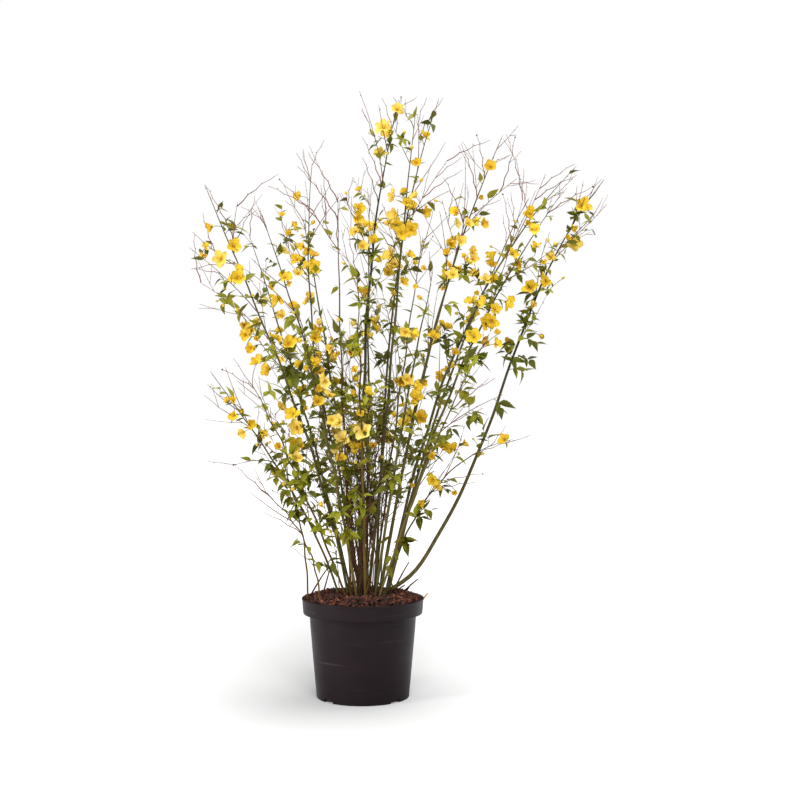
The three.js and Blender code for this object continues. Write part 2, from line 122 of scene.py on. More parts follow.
# The canes: tip, foot where it is not by the rule, degrees flatter than the chord at foot and tip, radius at
# the foot, bare steps of the axis, bark, and the long side branches as (step, x, y, z).
Cane = namedtuple("Cane", "name tip foot angles girth bare bark arms")
CANES = [Cane(*values) for values in (
    ("left_low", (-318, -50, 690), None, (-12, 6), 3.4, 3, "olive",
     [(7.0, -279, -74, 489), (9.0, -292, -8, 700)]),
    ("left_edge", (-338, 6, 1090), None, (-9, 3), 4.2, 2, "green",
     [(8.2, -366, -24, 952), (7.4, -352, 40, 884), (10.0, -262, -38, 1046)]),
    ("left_dark", (-226, 96, 1042), None, (-12, 5), 3.4, 2, "dark", [(8.8, -300, 118, 940)]),
    ("left_tall", (-118, 140, 1158), None, (10, -18), 3.6, 2, "green",
     [(9.0, -214, 150, 1052), (9.8, -60, 168, 1085)]),
    ("left_inner", (-48, -112, 1052), (-24, -32), (1, -5), 3.2, 2, "red", []),
    ("centre_front", (76, -84, 1250), (-9, -14), (-3, 12), 5.2, 2, "dark",
     [(8.0, -88, -96, 1182), (7.0, -172, -52, 1092), (10.2, -4, -108, 1262)]),
    ("centre_tall", (112, 6, 1240), (11, 0), (1, 1), 4.8, 2, "green", [(9.0, 214, -46, 1178)]),
    ("centre_fork", (164, 74, 1289), (24, 20), (-4, 12), 3.8, 2, "olive",
     [(9.0, 262, 60, 1112), (10.2, 118, 108, 1262)]),
    ("right_tall", (298, -4, 1194), (36, -4), (-5, 9), 4.6, 2, "olive",
     [(9.2, 216, -30, 1150), (9.6, 338, 30, 1112), (8.0, 156, 24, 1072)]),
    ("right_fan", (462, 52, 1138), (48, 12), (-12, 20), 4.4, 2, "green",
     [(9.0, 376, 80, 1088), (9.4, 392, 24, 1116)]),
    ("right_fan_front", (398, -86, 1036), (52, -14), (-10, 12), 4.2, 2, "olive", [(8.6, 330, -110, 1040)]),
    ("right_sweep", (510, -26, 1096), (62, -2), (16, 12), 5, 6, "dark",
     [(10.6, 462, -52, 1088), (9.6, 474, 6, 990)]),
    ("right_low", (314, -66, 548), (46, -30), (-25, 40), 2.6, 3, "green", [(7.4, 236, -102, 660)]),
    ("front_left", (-116, -296, 800), None, (-4, 4), 4, 3, "olive", []),
    ("front_middle", (-2, -330, 860), None, (-6, 6), 3.8, 3, "brown", []),
    ("front_right", (142, -290, 880), None, (-4, 4), 4.2, 3, "green", []),
    ("front_right_low", (236, -214, 730), (34, -46), (-4, 6), 3.2, 3, "olive", [(8.1, 282, -196, 640)]),
    ("front_left_low", (-214, -196, 660), None, (-3, 5), 3.2, 3, "brown", []),
    ("back_far_left", (-268, 226, 1010), None, (-4, 3), 3.6, 2, "green", []),
    ("back_left", (-150, 300, 1060), None, (-5, 5), 4, 2, "olive", []),
    ("back_middle", (6, 318, 1120), None, (-4, 3), 4, 2, "green", []),
    ("back_middle_right", (132, 262, 1010), None, (-2, 2), 3.2, 2, "brown", []),
    ("back_right", (244, 304, 1080), None, (-5, 6), 4, 2, "olive", []),
    ("back_far_right", (372, 206, 1090), None, (-7, 8), 4, 2, "green", []),
    ("rim_left", (-168, -95, 516), (-116, -18), (-16, 14), 2.6, 3, "brown", [(4.6, -214, -92, 400)]),
    ("rim_left_inner", (-206, -112, 446), (-88, -60), (-26, 26), 2.4, 3, "brown", []),
)]
SPRAY_NODES = ["spray_" + cane.name for cane in CANES]
BARKS = ("green", "olive", "dark", "brown", "red")

# Where the picture shows flowers, leaf tufts and the tips of bare twigs, as pixels across and down its frame.
FLOWERS = {
    ("large", "gold"): [
        (383, 126), (390, 132), (397, 213), (396, 223), (401, 231), (582, 205), (574, 241), (531, 286),
        (506, 300), (492, 319), (233, 244), (221, 257), (241, 271), (237, 276), (285, 276), (315, 265),
        (357, 217), (314, 336), (297, 426), (296, 443), (415, 397), (418, 416), (474, 335), (279, 297)],
    ("large", "orange"): [(411, 227), (485, 321), (270, 367)],
    ("large", "pale"): [(392, 254), (395, 262), (340, 421), (343, 438), (364, 430)],
    ("medium", "gold"): [
        (397, 108), (394, 194), (406, 201), (416, 195), (412, 206), (424, 210), (374, 240), (409, 254),
        (388, 271), (402, 280), (457, 211), (468, 222), (482, 221), (450, 242), (460, 240), (472, 251),
        (473, 258), (453, 273), (527, 214), (532, 210), (536, 228), (536, 245), (512, 252), (520, 262),
        (551, 256), (546, 279), (493, 278), (486, 300), (297, 258), (304, 245), (300, 194), (308, 265),
        (358, 207), (362, 245), (356, 261), (244, 323), (250, 328), (246, 333), (251, 346), (256, 362),
        (263, 356), (288, 342), (293, 340), (332, 347), (332, 358), (280, 407), (293, 412), (262, 433),
        (249, 423), (244, 430), (235, 413), (332, 418), (335, 433), (341, 456), (407, 378), (414, 385),
        (406, 421), (390, 437), (495, 342), (505, 438), (433, 478), (436, 483), (452, 447), (443, 446),
        (588, 208)],
    ("medium", "orange"): [
        (491, 165), (417, 161), (212, 225), (314, 361), (317, 401), (403, 384), (433, 335), (454, 351),
        (421, 414), (280, 445)],
    ("medium", "pale"): [(232, 278), (298, 272), (282, 314), (455, 222), (485, 278), (356, 230), (335, 446)],
    ("small", "gold"): [
        (205, 246), (203, 255), (288, 281), (311, 222), (292, 224), (290, 233), (282, 214), (372, 228),
        (271, 286), (415, 263), (426, 267), (395, 292), (422, 297), (418, 285), (405, 190), (527, 223),
        (542, 259), (567, 237), (572, 227), (478, 292), (228, 400), (233, 399), (242, 411), (257, 337),
        (338, 353), (351, 354), (308, 367), (355, 369), (318, 388), (306, 407), (397, 380), (423, 381),
        (408, 413), (396, 414), (411, 485), (419, 502), (372, 530), (329, 515), (318, 503), (456, 489),
        (463, 443), (320, 328), (359, 413), (352, 450), (296, 457), (498, 332)],
    ("small", "orange"): [
        (480, 196), (447, 252), (445, 287), (373, 443), (432, 455), (508, 339), (539, 333), (356, 392)],
    ("bud", "gold"): [
        (387, 152), (412, 147), (420, 179), (437, 199), (458, 312), (465, 321), (492, 245), (548, 240),
        (562, 277), (541, 205), (223, 287), (218, 299), (224, 303), (238, 308), (253, 294), (257, 318),
        (295, 311), (303, 234), (338, 319), (347, 192), (300, 338), (362, 402), (282, 420), (269, 441),
        (257, 443), (356, 461), (311, 467), (344, 467), (382, 456), (357, 491), (331, 530), (285, 482),
        (481, 451), (474, 438), (428, 449), (420, 501), (441, 487)],
}
TUFTS = [
    (413, 115), (431, 122), (402, 139), (391, 143), (544, 205), (575, 215), (588, 220), (397, 241),
    (443, 282), (465, 277), (467, 267), (545, 267), (547, 289), (528, 292), (378, 281), (392, 307),
    (406, 272), (492, 307), (460, 318), (455, 307), (425, 313), (528, 312), (523, 322), (375, 253),
    (498, 285), (226, 223), (262, 298), (240, 313), (287, 239), (355, 241), (372, 252), (355, 276),
    (360, 302), (365, 318), (378, 322), (290, 317), (315, 272), (228, 296), (247, 279), (223, 207),
    (282, 205), (274, 355), (292, 350), (288, 368), (297, 375), (272, 390), (282, 395), (305, 397),
    (327, 369), (343, 395), (356, 346), (379, 358), (337, 413), (272, 468), (277, 475), (285, 490),
    (288, 497), (305, 476), (327, 483), (353, 475), (387, 465), (394, 476), (388, 487), (332, 522),
    (315, 528), (337, 531), (353, 539), (361, 530), (353, 494), (387, 567), (318, 562), (410, 453),
    (405, 540), (295, 510), (375, 518), (380, 359), (508, 343), (503, 351), (513, 360), (524, 371),
    (531, 360), (539, 345), (464, 371), (447, 388), (465, 399), (466, 391), (436, 390), (482, 361),
    (476, 354), (483, 430), (478, 419), (471, 422), (501, 410), (432, 438), (443, 441), (403, 437),
    (453, 430), (414, 458), (387, 467), (447, 491), (432, 512), (424, 518), (416, 515), (407, 542),
    (447, 349), (447, 338), (466, 355), (293, 510), (297, 517), (307, 477), (300, 480), (318, 508),
    (327, 517), (322, 527), (330, 538), (345, 540), (340, 512), (312, 490), (303, 498), (337, 563),
    (346, 503), (360, 505), (372, 498), (290, 455), (300, 460),
]
TIPS = [
    (205, 185), (192, 269), (188, 269), (182, 234), (203, 213), (241, 207), (252, 207), (257, 210),
    (268, 186), (280, 180), (278, 174), (296, 153), (308, 153), (322, 170), (324, 140), (322, 198),
    (339, 193), (340, 201), (347, 227), (362, 108), (362, 137), (362, 157), (353, 177), (382, 98), (393, 97),
    (402, 97), (417, 97), (427, 97), (443, 98), (461, 143), (462, 170), (462, 157), (443, 177), (477, 136),
    (490, 140), (506, 134), (515, 138), (509, 155), (517, 172), (503, 195), (511, 192), (500, 200),
    (490, 209), (503, 215), (539, 184), (575, 164), (577, 175), (577, 186), (592, 187), (602, 179),
    (587, 223), (455, 187), (223, 370), (220, 396), (259, 404), (234, 465), (273, 491), (263, 512),
    (287, 545), (495, 378), (483, 408), (506, 425), (515, 440), (482, 474), (476, 482), (255, 195),
    (297, 166),
]
# Spots where the picture is thin or full: pixels across and down, reach, and the share that grows.
SPOTS = (
    (320, 196, 22, 0.15), (480, 164, 22, 0.2), (256, 292, 18, 0.4), (288, 324, 18, 0.5), (286, 515, 16, 0.2),
    (500, 418, 20, 0.3), (240, 385, 24, 0.2), (384, 285, 14, 1.6), (416, 290, 16, 1.8), (512, 292, 16, 1.8),
    (320, 545, 14, 2.0), (448, 484, 14, 1.5), (352, 120, 16, 0.3), (437, 112, 16, 0.1), (520, 160, 34, 0.1),
    (420, 135, 22, 0.3), (448, 192, 34, 0.35), (508, 195, 30, 0.15), (550, 180, 30, 0.25),
    (520, 225, 24, 0.1), (212, 200, 20, 0.4), (240, 222, 22, 0.35), (256, 275, 24, 0.25),
    (340, 205, 18, 0.35), (326, 232, 14, 0.4), (378, 208, 10, 0.4), (336, 285, 30, 0.2), (312, 318, 24, 0.3),
    (484, 250, 24, 0.15), (428, 306, 24, 0.05), (350, 306, 16, 0.3), (400, 440, 18, 0.5),
    (232, 378, 30, 0.05), (520, 385, 40, 0.05), (480, 404, 38, 0.1), (256, 392, 20, 0.3), (286, 508, 14, 0.2),
    (368, 365, 26, 0.4), (412, 345, 16, 0.5), (520, 436, 40, 0.05), (425, 412, 20, 0.4), (446, 440, 14, 0.5),
    (470, 470, 30, 0.3), (252, 465, 22, 0.3), (272, 502, 20, 0.3), (430, 520, 30, 0.25), (410, 550, 30, 0.1),
    (384, 278, 20, 2.0), (520, 284, 24, 2.2), (482, 306, 20, 1.6), (556, 248, 14, 1.8), (312, 370, 26, 1.7),
    (300, 420, 24, 1.6), (344, 402, 16, 1.8), (380, 405, 16, 1.7), (330, 430, 18, 1.6), (320, 480, 22, 1.7),
    (320, 540, 18, 1.8), (288, 224, 14, 1.4), (398, 262, 16, 2.0), (400, 186, 18, 2.2), (305, 508, 20, 2.2),
)
# The crown's top line in the picture, as pixels across and down.
SKYLINE = ((190, 205, 240, 262, 283, 300, 325, 345, 362, 382, 400, 445, 465, 478, 517, 545, 577, 605),
           (255, 182, 203, 178, 172, 150, 136, 150, 106, 96, 94, 96, 138, 134, 136, 180, 162, 176))
# Dead stubs about the foot and the straw at the rim: from and to, in pixels, and how far behind the middle.
STUBS = (
    (423, 598, 428, 593, 12), (386, 591, 391, 580, 20), (384, 590, 377, 579, 10), (391, 591, 405, 585, 30),
    (400, 588, 418, 579, 24), (391, 585, 409, 562, 16), (366, 592, 361, 583, -12), (374, 593, 381, 586, -26),
    (340, 594, 333, 587, 6), (396, 588, 388, 575, 26), (372, 590, 362, 580, -10), (404, 589, 411, 584, 30),
    (378, 588, 386, 576, 4), (382, 592, 392, 588, -20), (308, 594, 329, 566, -14), (321, 600, 331, 566, -56),
)
# What grows at a joint by its height: the share of leafy shoots, of these with flowers, and of bare twigs,
# and how large and many the leaves are.
HEIGHTS = (240, 400, 500, 620, 800, 950, 1100, 1280)
LEAFY = (0.03, 0.3, 0.6, 0.66, 0.54, 0.4, 0.32, 0.22)
FLOWERY = (0.0, 0.0, 0.12, 0.42, 0.5, 0.72, 0.85, 0.85)
TWIGGY = (0.12, 0.22, 0.22, 0.2, 0.18, 0.17, 0.17, 0.2)
LUSHNESS = (0.6, 0.9, 1.0, 1.0, 0.8, 0.55, 0.4, 0.4)
# A flower's least and most radius and how far it is open, by its size in the picture.
FLOWER_SIZES = {"large": (19.5, 23.0, 0.72), "medium": (14.5, 18.0, 0.55), "small": (10.0, 13.5, 0.3),
                "bud": (11.0, 14.0, 0.0)}
# The finish of a flower's petals: 0 gold, 1 light, 2 orange, 3 deep gold, 4 pale, 5 amber.
PETAL_TINTS = (0, 0, 1, 1, 0, 2, 3, 0, 1, 2, 5, 0, 1, 3, 2, 0, 1, 4, 5, 0)
FLOWER_FINISHES = {"gold": (0, 1, 0, 3), "orange": (2, 5, 2, 2), "pale": (4, 4, 1, 4)}
# The finishes of twigs, in their order.
GREEN, OLIVE, BROWN, DARK, MOSS, KHAKI, STRAW = range(7)
THICKET_HUES = (DARK, MOSS, KHAKI, MOSS, DARK, KHAKI, BROWN)
# How many there are of tints to draw from, of parts, and of steps along and round a shape.
TINT_COUNT = len(PETAL_TINTS)
PETALS = 5
STAMENS = 12
THICKET_STEMS = 44
CHIPS = 4600
CHIP_KINDS = 6
LIMB_STEPS = 5
SOIL_RINGS = 34
POT_FACETS = 120
SOIL_FACETS = 110
# Shades around a colour: how bright, and how far towards red.
CANE_TINTS = ((0.85, 0.95), (1.0, 1.1), (0.9, 1.0), (0.75, 1.35), (0.6, 1.7))
CROWN_TINTS = ((0.66, 0.8), (0.52, 0.92), (0.17, 0.9), (0.44, 1.15), (0.4, 1.5))
LEAF_TINTS = ((1.0, 1.0), (1.35, 1.02), (0.46, 0.96), (1.0, 1.12), (0.62, 0.92))
BARK_TINTS = ((1.0, 1.0), (0.6, 1.05), (0.3, 1.0), (0.17, 0.92), (1.7, 1.02), (3.2, 0.85))
# A leaf's and a petal's half width, by the share from root to tip.
LEAF_OUTLINE = ((0, 0.08, 0.17, 0.25, 0.34, 0.5, 0.67, 0.83, 0.92, 1),
                (0.03, 0.5, 0.82, 0.96, 1, 0.86, 0.56, 0.26, 0.12, 0.0))
PETAL_OUTLINE = ((0, 0.15, 0.29, 0.43, 0.57, 0.72, 0.86, 1),
                 (0.06, 0.16, 0.25, 0.32, 0.37, 0.385, 0.35, 0.22))
# The streams of draws: how a stream goes on, and where each starts. A pair is the first one's start and the
# step from one to the next.
DRAW_FACTOR = 48271
DRAW_PRIME = 2147483647
AXIS_SEEDS = (101, 17)
FRAME_SEEDS = (977, 31)
CANE_SEEDS = (4409, 53)
THICKET_SEED = 7001
PICTURE_SEED = 5003
CHIP_SEED = 31
CHIP_SHAPE_SEEDS = (601, 7)
# How far the sweeping cane bends aside and sags near the soil, by height.
SWEEP_ASIDE = ((222, 243, 264, 300), (-25, -13, -5, 0))
SWEEP_SAG = ((222, 243, 264, 289, 300, 334), (0, -7, -15, -13, -7, 0))
# The stage, in metres: lights as name, place, target, size and power, the floor's edge, and the reach and
# strength of its painted glow, which is weak near the pot as a painted shadow.
LIGHTS = (("key", (0.3, -2.7, 3.0), (0, 0, 0.6), (1.4, 1.4), 80),
          ("top", (0.4, 0.3, 3.2), (0, 0, 0.2), (2.0, 2.0), 90),
          ("strip", (-1.9, -1.2, 0.7), (0, 0, 0.3), (0.5, 1.4), 30))
FLOOR_EDGE = 40.0
PAINTED_SHADE_REACH = (0.06, 0.95)
PAINTED_FLOOR_GLOW = (0.06, 0.9)
WALL_LIGHT = 0.42
SENSOR = 36.0
# The pot's section, as [radius, height] from the middle of its underside round its wall to its floor.
POT_PROFILE = [
    (0, 0), (FOOT_RADIUS - 9, 0), (FOOT_RADIUS - 1.2, 0), (FOOT_RADIUS, 1.2),
    (FOOT_RADIUS + 0.6, NOTCH_HEIGHT + 1),
    (101.6, 34), (105.3, 76), (109, 118), (111.8, 150), (112.9, 166), (113.1, 173.6), (113.6, 176.2),
    (115.4, 177), (124.6, 177), (126.2, 177.7), (126.9, 179.6), (127.8, 190), (128.9, 204.6), (129.2, 206),
    (130, 206.9), (130, 209), (129.2, 210), (128.3, 210), (127.6, 209.2), (127.3, 206.5),
    (LIP_FOOT_RADIUS - WALL, LIP_FOOT + WALL + 1), (LIP_FOOT_RADIUS - WALL - 1.4, LIP_FOOT + WALL),
    (BODY_TOP_RADIUS - WALL, LIP_FOOT + WALL), (109, 140), (FOOT_RADIUS - WALL, FLOOR + 1),
    (FOOT_RADIUS - WALL - 1, FLOOR), (0, FLOOR),
]


def seeded(seed):
    """A stream of shares from 0 to 1, the same each time for the same seed."""
    def stream(state):
        while True:
            state = state * DRAW_FACTOR % DRAW_PRIME
            yield state / DRAW_PRIME

    return stream(seed).__next__


def cos_sin(degrees):
    """The cosine and the sine of an angle."""
    return math.cos(math.radians(degrees)), math.sin(math.radians(degrees))


def unit(v):
    return v / math.sqrt(v @ v)


def cross(a, b):
    return np.array([a[1] * b[2] - a[2] * b[1], a[2] * b[0] - a[0] * b[2], a[0] * b[1] - a[1] * b[0]])


def turned(v, axis, degrees):
    """A direction turned about an axis."""
    c, s = cos_sin(degrees)
    return v * c + cross(axis, v) * s + axis * ((axis @ v) * (1 - c))


def square_to(course):
    return unit(cross(UP if abs(course[2]) < 0.9 else ACROSS, course))


def out_of(course, turn, angle):
    """The direction that growth takes out of its parent: turned about it, and away from it by an angle."""
    c, s = cos_sin(angle)
    return course * c + turned(square_to(course), course, turn) * s


def lifted(course, share):
    return unit(course + UP * share)


def soil_height(x, y):
    return float(np.interp(math.hypot(x, y), (MOUND_RADIUS, SOIL_EDGE_RADIUS), (SOIL_TOP, SOIL_EDGE)))


def foot_of(cane):
    fx, fy = cane.foot or [c + FOOT_SPREAD * (t - c) / cane.tip[2] for c, t in zip(CLUMP, cane.tip)]
    inner = 1 - cane.girth / math.hypot(fx, fy)
    return np.array([fx, fy, soil_height(fx * inner, fy * inner) + CLEARANCE])


def axis_of(cane, seed):
    """A cane's centre line: a cubic from foot to tip, set off to alternate sides at its joints."""
    foot, tip = foot_of(cane), np.array(cane.tip, float)
    chord = tip - foot
    handle = HANDLE * math.sqrt(chord @ chord)
    tilt = unit(cross(UP, np.array([chord[0], chord[1], 0.0])))
    start = foot + turned(unit(chord), tilt, cane.angles[0]) * handle
    end = tip - turned(unit(chord), tilt, cane.angles[1]) * handle
    shares = np.linspace(0, 1, AXIS_STEPS + 1)[:, None]
    back = 1 - shares
    smooth = foot * back**3 + start * (3 * back**2 * shares) + end * (3 * back * shares**2) + tip * shares**3
    turn = seeded(seed)() * 360
    points = smooth.copy()
    for i in range(1, AXIS_STEPS):
        tangent = unit(smooth[i + 1] - smooth[i - 1])
        side = turned(square_to(tangent), tangent, turn)
        points[i] += side * ((1 if i % 2 else -1) * ZIGZAG * i / AXIS_STEPS)
    return points


AXES = np.array([axis_of(cane, AXIS_SEEDS[0] + AXIS_SEEDS[1] * i) for i, cane in enumerate(CANES)])
SEGMENT_STARTS = AXES[:, :-1]
SEGMENTS = AXES[:, 1:] - AXES[:, :-1]
SEGMENT_SQUARES = (SEGMENTS**2).sum(-1)
GIRTHS = np.array([cane.girth for cane in CANES])


def radius_at(own, share):
    return TIP_RADIUS + (GIRTHS[own] - TIP_RADIUS) * (1 - share) ** TAPER


def in_space(own, points):
    """Which points lie in a cane's own space: nearer to its axis than to others', and clear of every limb."""
    cane, points = CANES[own], np.atleast_2d(points)
    offset = points[:, None, None] - SEGMENT_STARTS
    share = np.clip((offset * SEGMENTS).sum(-1) / SEGMENT_SQUARES, 0, 1)
    away = np.sqrt(((offset - share[..., None] * SEGMENTS) ** 2).sum(-1))
    fits = (points[:, 2] >= SOIL_TOP + 20) & (points[:, 2] <= cane.tip[2] + OVERTOP)
    fits &= (points[:, 0] >= REACH_LEFT) & (points[:, 0] <= REACH_RIGHT)
    fits &= away[:, own, :cane.bare].min(-1) >= cane.girth + LIMB_MARGIN
    nearest = away.min(-1)
    others = np.arange(len(CANES)) != own
    near = nearest[:, own][:, None]
    return fits & ((nearest - near > 2 * SPACE_MARGIN) & (nearest > GIRTHS + LIMB_MARGIN))[:, others].all(-1)


def place_on(points, share):
    """A point and a direction on a line through points, at a share of its steps."""
    i = min(len(points) - 2, int(share * (len(points) - 1)))
    part = share * (len(points) - 1) - i
    return points[i] + (points[i + 1] - points[i]) * part, unit(points[i + 1] - points[i])


def course_of(line, k=-2):
    """The direction of a line's step from its point k."""
    return unit(line[k + 1] - line[k])


def length_of(line):
    return np.sqrt((np.diff(line, axis=0) ** 2).sum(-1)).sum()


def bow(start, course, tip, shares):
    """Points on a line that leaves along a course and bends to its tip."""
    middle = start + course * (0.45 * math.dist(start, tip))
    shares = np.asarray(shares, float)[:, None]
    return start * (1 - shares) ** 2 + middle * (2 * shares * (1 - shares)) + tip * shares**2


def twig_line(own, start, course, tip):
    """A side branch's centre line, cut where its cane's space ends."""
    reach = math.dist(start, tip)
    tests = max(2, math.ceil(reach / TEST_GAP))
    outside = np.flatnonzero(~in_space(own, bow(start, course, tip, np.arange(1, tests + 1) / tests)))
    share = outside[0] / tests if len(outside) else 1.0
    return None if share * reach < SHORTEST_TWIG else bow(start, course, tip, np.linspace(0, share, 7))


def leaf_fits(own, root, course, size):
    side = unit(cross(course, UP))
    face = unit(cross(side, course))
    rows = ((0.42, -0.23, 0.03), (0.42, 0.23, 0.03), (0.7, -0.115, 0), (0.7, 0.115, 0), (1, 0, -0.07))
    length = LEAF_LENGTH * size
    return in_space(own, [root + length * (course * a + side * b + face * c) for a, b, c in rows]).all()


def bloom_fits(own, root, course, size, is_open):
    if not is_open:
        return in_space(own, root + course * (STALK * size)).all()
    radius, across = BLOOM_RADIUS * size, square_to(course)
    rim = [turned(across, course, k * 24.0) for k in range(15)]
    return in_space(own, [root + course * (STALK + 0.3 * radius) + spoke * radius for spoke in rim]).all()


def framework(own):
    """The side branches and the places of leaves and flowers that the solids have, by the same rule."""
    cane, axis = CANES[own], AXES[own]
    draw = seeded(FRAME_SEEDS[0] + FRAME_SEEDS[1] * own)
    twigs, leaves, blooms = [], [], []

    def twig(step, course, end):
        share = step / AXIS_STEPS
        line = twig_line(own, place_on(axis, share)[0], course, end)
        if line is not None:
            twigs.append((line, min(radius_at(own, share) * 0.8, TWIG_RADIUS), share))
        return line

    def bloom(root, course, size, is_open):
        if bloom_fits(own, root, course, size, is_open):
            blooms.append((root, course, size, is_open))

    def leaf(root, course, size):
        fits = leaf_fits(own, root, course, size)
        if fits:
            leaves.append((root, course, size))
        return fits

    def dress(line, shares, bloom_share):
        for share in shares if line is not None else ():
            at, course = place_on(line, share)
            turn, size, flowers = draw() * 360, 0.75 + 0.4 * draw(), draw()
            leaf(at, lifted(out_of(course, turn, 52), 0.1), size)
            if flowers < bloom_share:
                bloom(at, lifted(out_of(course, turn + 150, 60), 0.25), size, flowers < bloom_share * 0.7)

    for step, *end in cane.arms:
        at, course = place_on(axis, step / AXIS_STEPS)
        end = np.array(end, float)
        towards = unit(end - at)
        dress(twig(step, unit(towards + (course - towards) * 0.35), end), (0.22, 0.5), 0.6)
    joints = round(length_of(axis[cane.bare:]) / JOINT_GAP)
    for k in range(joints):
        up = (k + 0.6) / joints
        step = cane.bare + up * (AXIS_STEPS - cane.bare)
        at, course = place_on(axis, step / AXIS_STEPS)
        turn, size, flowers = k * GOLDEN_ANGLE + draw() * 40, 0.8 + 0.4 * draw(), draw()
        if k % 3 == 1:
            reach = TWIG_LENGTH * (0.62 + 0.4 * math.sin(math.pi * min(1, up + 0.15))) * size
            for swing in (0, 75, -75, 150):
                towards = out_of(course, turn + swing, TWIG_ANGLE)
                line = twig(step, towards, at + lifted(towards, 0.18) * reach)
                if line is not None:
                    dress(line, (0.3, 0.6), 0.45)
                    break
            continue
        towards = lifted(out_of(course, turn, 58), 0.05)
        leaf(at, towards, size) or leaf(at, towards, size * 0.6)
        if flowers < 0.62 and up > 0.12:
            bloom(at, lifted(out_of(course, turn + 75, 66), 0.1), size, flowers < 0.5)
        else:
            leaf(at, lifted(out_of(course, turn + 160, 62), 0), size * 0.9)
    return twigs, leaves, blooms


class Shrub:
    """All that grows, as places for the pieces that stand there."""

    def __init__(self):
        for kind in ("canes", "carriers", "stems", "leaves", "petals", "hearts", "buds", "nubs", "seeds"):
            setattr(self, kind, [])


def pixel_of(at):
    """Where the picture shows a place."""
    far = (CAMERA_BACK + at[..., 1]) / CAMERA_BACK * PIXEL
    return MIDDLE + (at[..., 0] - CAMERA_ASIDE) / far, MIDDLE - (at[..., 2] - CAMERA_HEIGHT) / far


def seen_at(across, down, depth):
    """The place that the picture shows at a pixel, so far behind the plant's middle."""
    far = (CAMERA_BACK + depth) / CAMERA_BACK * PIXEL
    return np.array([CAMERA_ASIDE + (across - MIDDLE) * far, depth, CAMERA_HEIGHT - (down - MIDDLE) * far])


def inside(point, margin=3.0):
    """Whether a point stays within the reach of the solids and under the crown's top line."""
    if (point < LOW + margin).any() or (point > HIGH - margin).any() or point[2] < SOIL_TOP + 12:
        return False
    across, down = pixel_of(point)
    return bool(down > np.interp(across, *SKYLINE))


def smooth_line(points, steps):
    """A line bent smoothly through points, with so many steps between each two."""
    ends = np.vstack([2 * points[0] - points[1], points, 2 * points[-1] - points[-2]])
    a, b, c, d = ends[:-3], ends[1:-2], ends[2:-1], ends[3:]
    out = [b + 0.5 * t * (c - a + t * (2 * a - 5 * b + 4 * c - d + t * (3 * (b - c) + d - a)))
           for t in np.arange(steps) / steps]
    return np.vstack([np.stack(out, 1).reshape(-1, 3), points[-1]])


def add_flower(shrub, root, course, radius, openness, draw, tint=None):
    """A flower's five petals and its heart, or a bud where it isn't out."""
    tint = PETAL_TINTS[any_tint(draw)] if tint is None else tint
    spin = draw() * 360
    if openness < 0.22:
        shrub.buds.append((root, course, radius * (0.62 + 0.2 * draw()), tint))
        return
    for k in range(PETALS):
        spoke = turned(square_to(course), course, spin + k * (360 / PETALS) + (draw() - 0.5) * 16)
        c, s = cos_sin(76 - 66 * openness + (draw() - 0.5) * 30)
        along = spoke * c + course * s
        upper = turned(course * c - spoke * s, along, (draw() - 0.5) * 26)
        shrub.petals.append((root, along, upper, radius * (0.88 + 0.24 * draw()), tint))
    shrub.hearts.append((root, course, radius * (0.6 + 0.4 * openness), tint))


def add_leaf(shrub, root, course, length, tint, draw):
    """A leaf that spreads and droops a little, if it stays within reach."""
    course = unit(course - UP * (0.05 + 0.4 * draw()))
    side = cross(course, UP)
    if side @ side < 0.01 or not inside(root + course * length, 1.0):
        return
    upper = turned(unit(cross(unit(side), course)), course, (draw() - 0.5) * 90)
    shrub.leaves.append((root, course, upper, length, tint, int(draw() * 3)))


def any_tint(draw):
    return int(TINT_COUNT * draw())


def by_height(values, z):
    return float(np.interp(z, HEIGHTS, values))


def growth_share(at):
    """How much of the usual growth a place has: less where the picture shows sky, more where it is full."""
    across, down = pixel_of(at)
    share = 1.0
    for x, y, reach, part in SPOTS:
        near = min(1.0, max(0.0, 1.5 - math.hypot(across - x, down - y) / reach))
        share *= 1 + (part - 1) * near
    return share


def leafy_shoot(shrub, root, course, length, leaves, flowers, tint, draw):
    """A short green shoot: leaves by turns left and right, and flowers at its end."""
    tip = root + lifted(course, 0.3) * length
    if not inside(tip, 8.0):
        return
    line = bow(root, course, tip, (0, 0.35, 0.7, 1))
    shrub.stems.append((line, (0.7, 0.6, 0.5, 0.4), GREEN))
    turn = draw() * 360
    lush = by_height(LUSHNESS, root[2])
    for k in range(leaves):
        at, towards = place_on(line, min(1.0, (k + 0.6) / leaves))
        size = (15 + 18 * draw()) * (0.6 + 0.4 * lush)
        add_leaf(shrub, at, out_of(towards, turn + 180 * k + 30 * draw(), 42 + 26 * draw()), size, tint, draw)
    for k in range(flowers):
        towards = lifted(out_of(unit(course), turn + 120 * k, 12 + 42 * k), 0.1)
        end = tip + towards * (4 + 8 * k)
        if inside(end + towards * 8, 12.0):
            shrub.stems.append((np.array([tip, tip + towards * (2 + 4 * k), end]), (0.5, 0.5, 0.6), GREEN))
            radius = 12.5 + 7.5 * draw()
            add_flower(shrub, end, towards, radius, 0.2 + 0.8 * draw() if draw() < 0.88 else 0.0, draw)


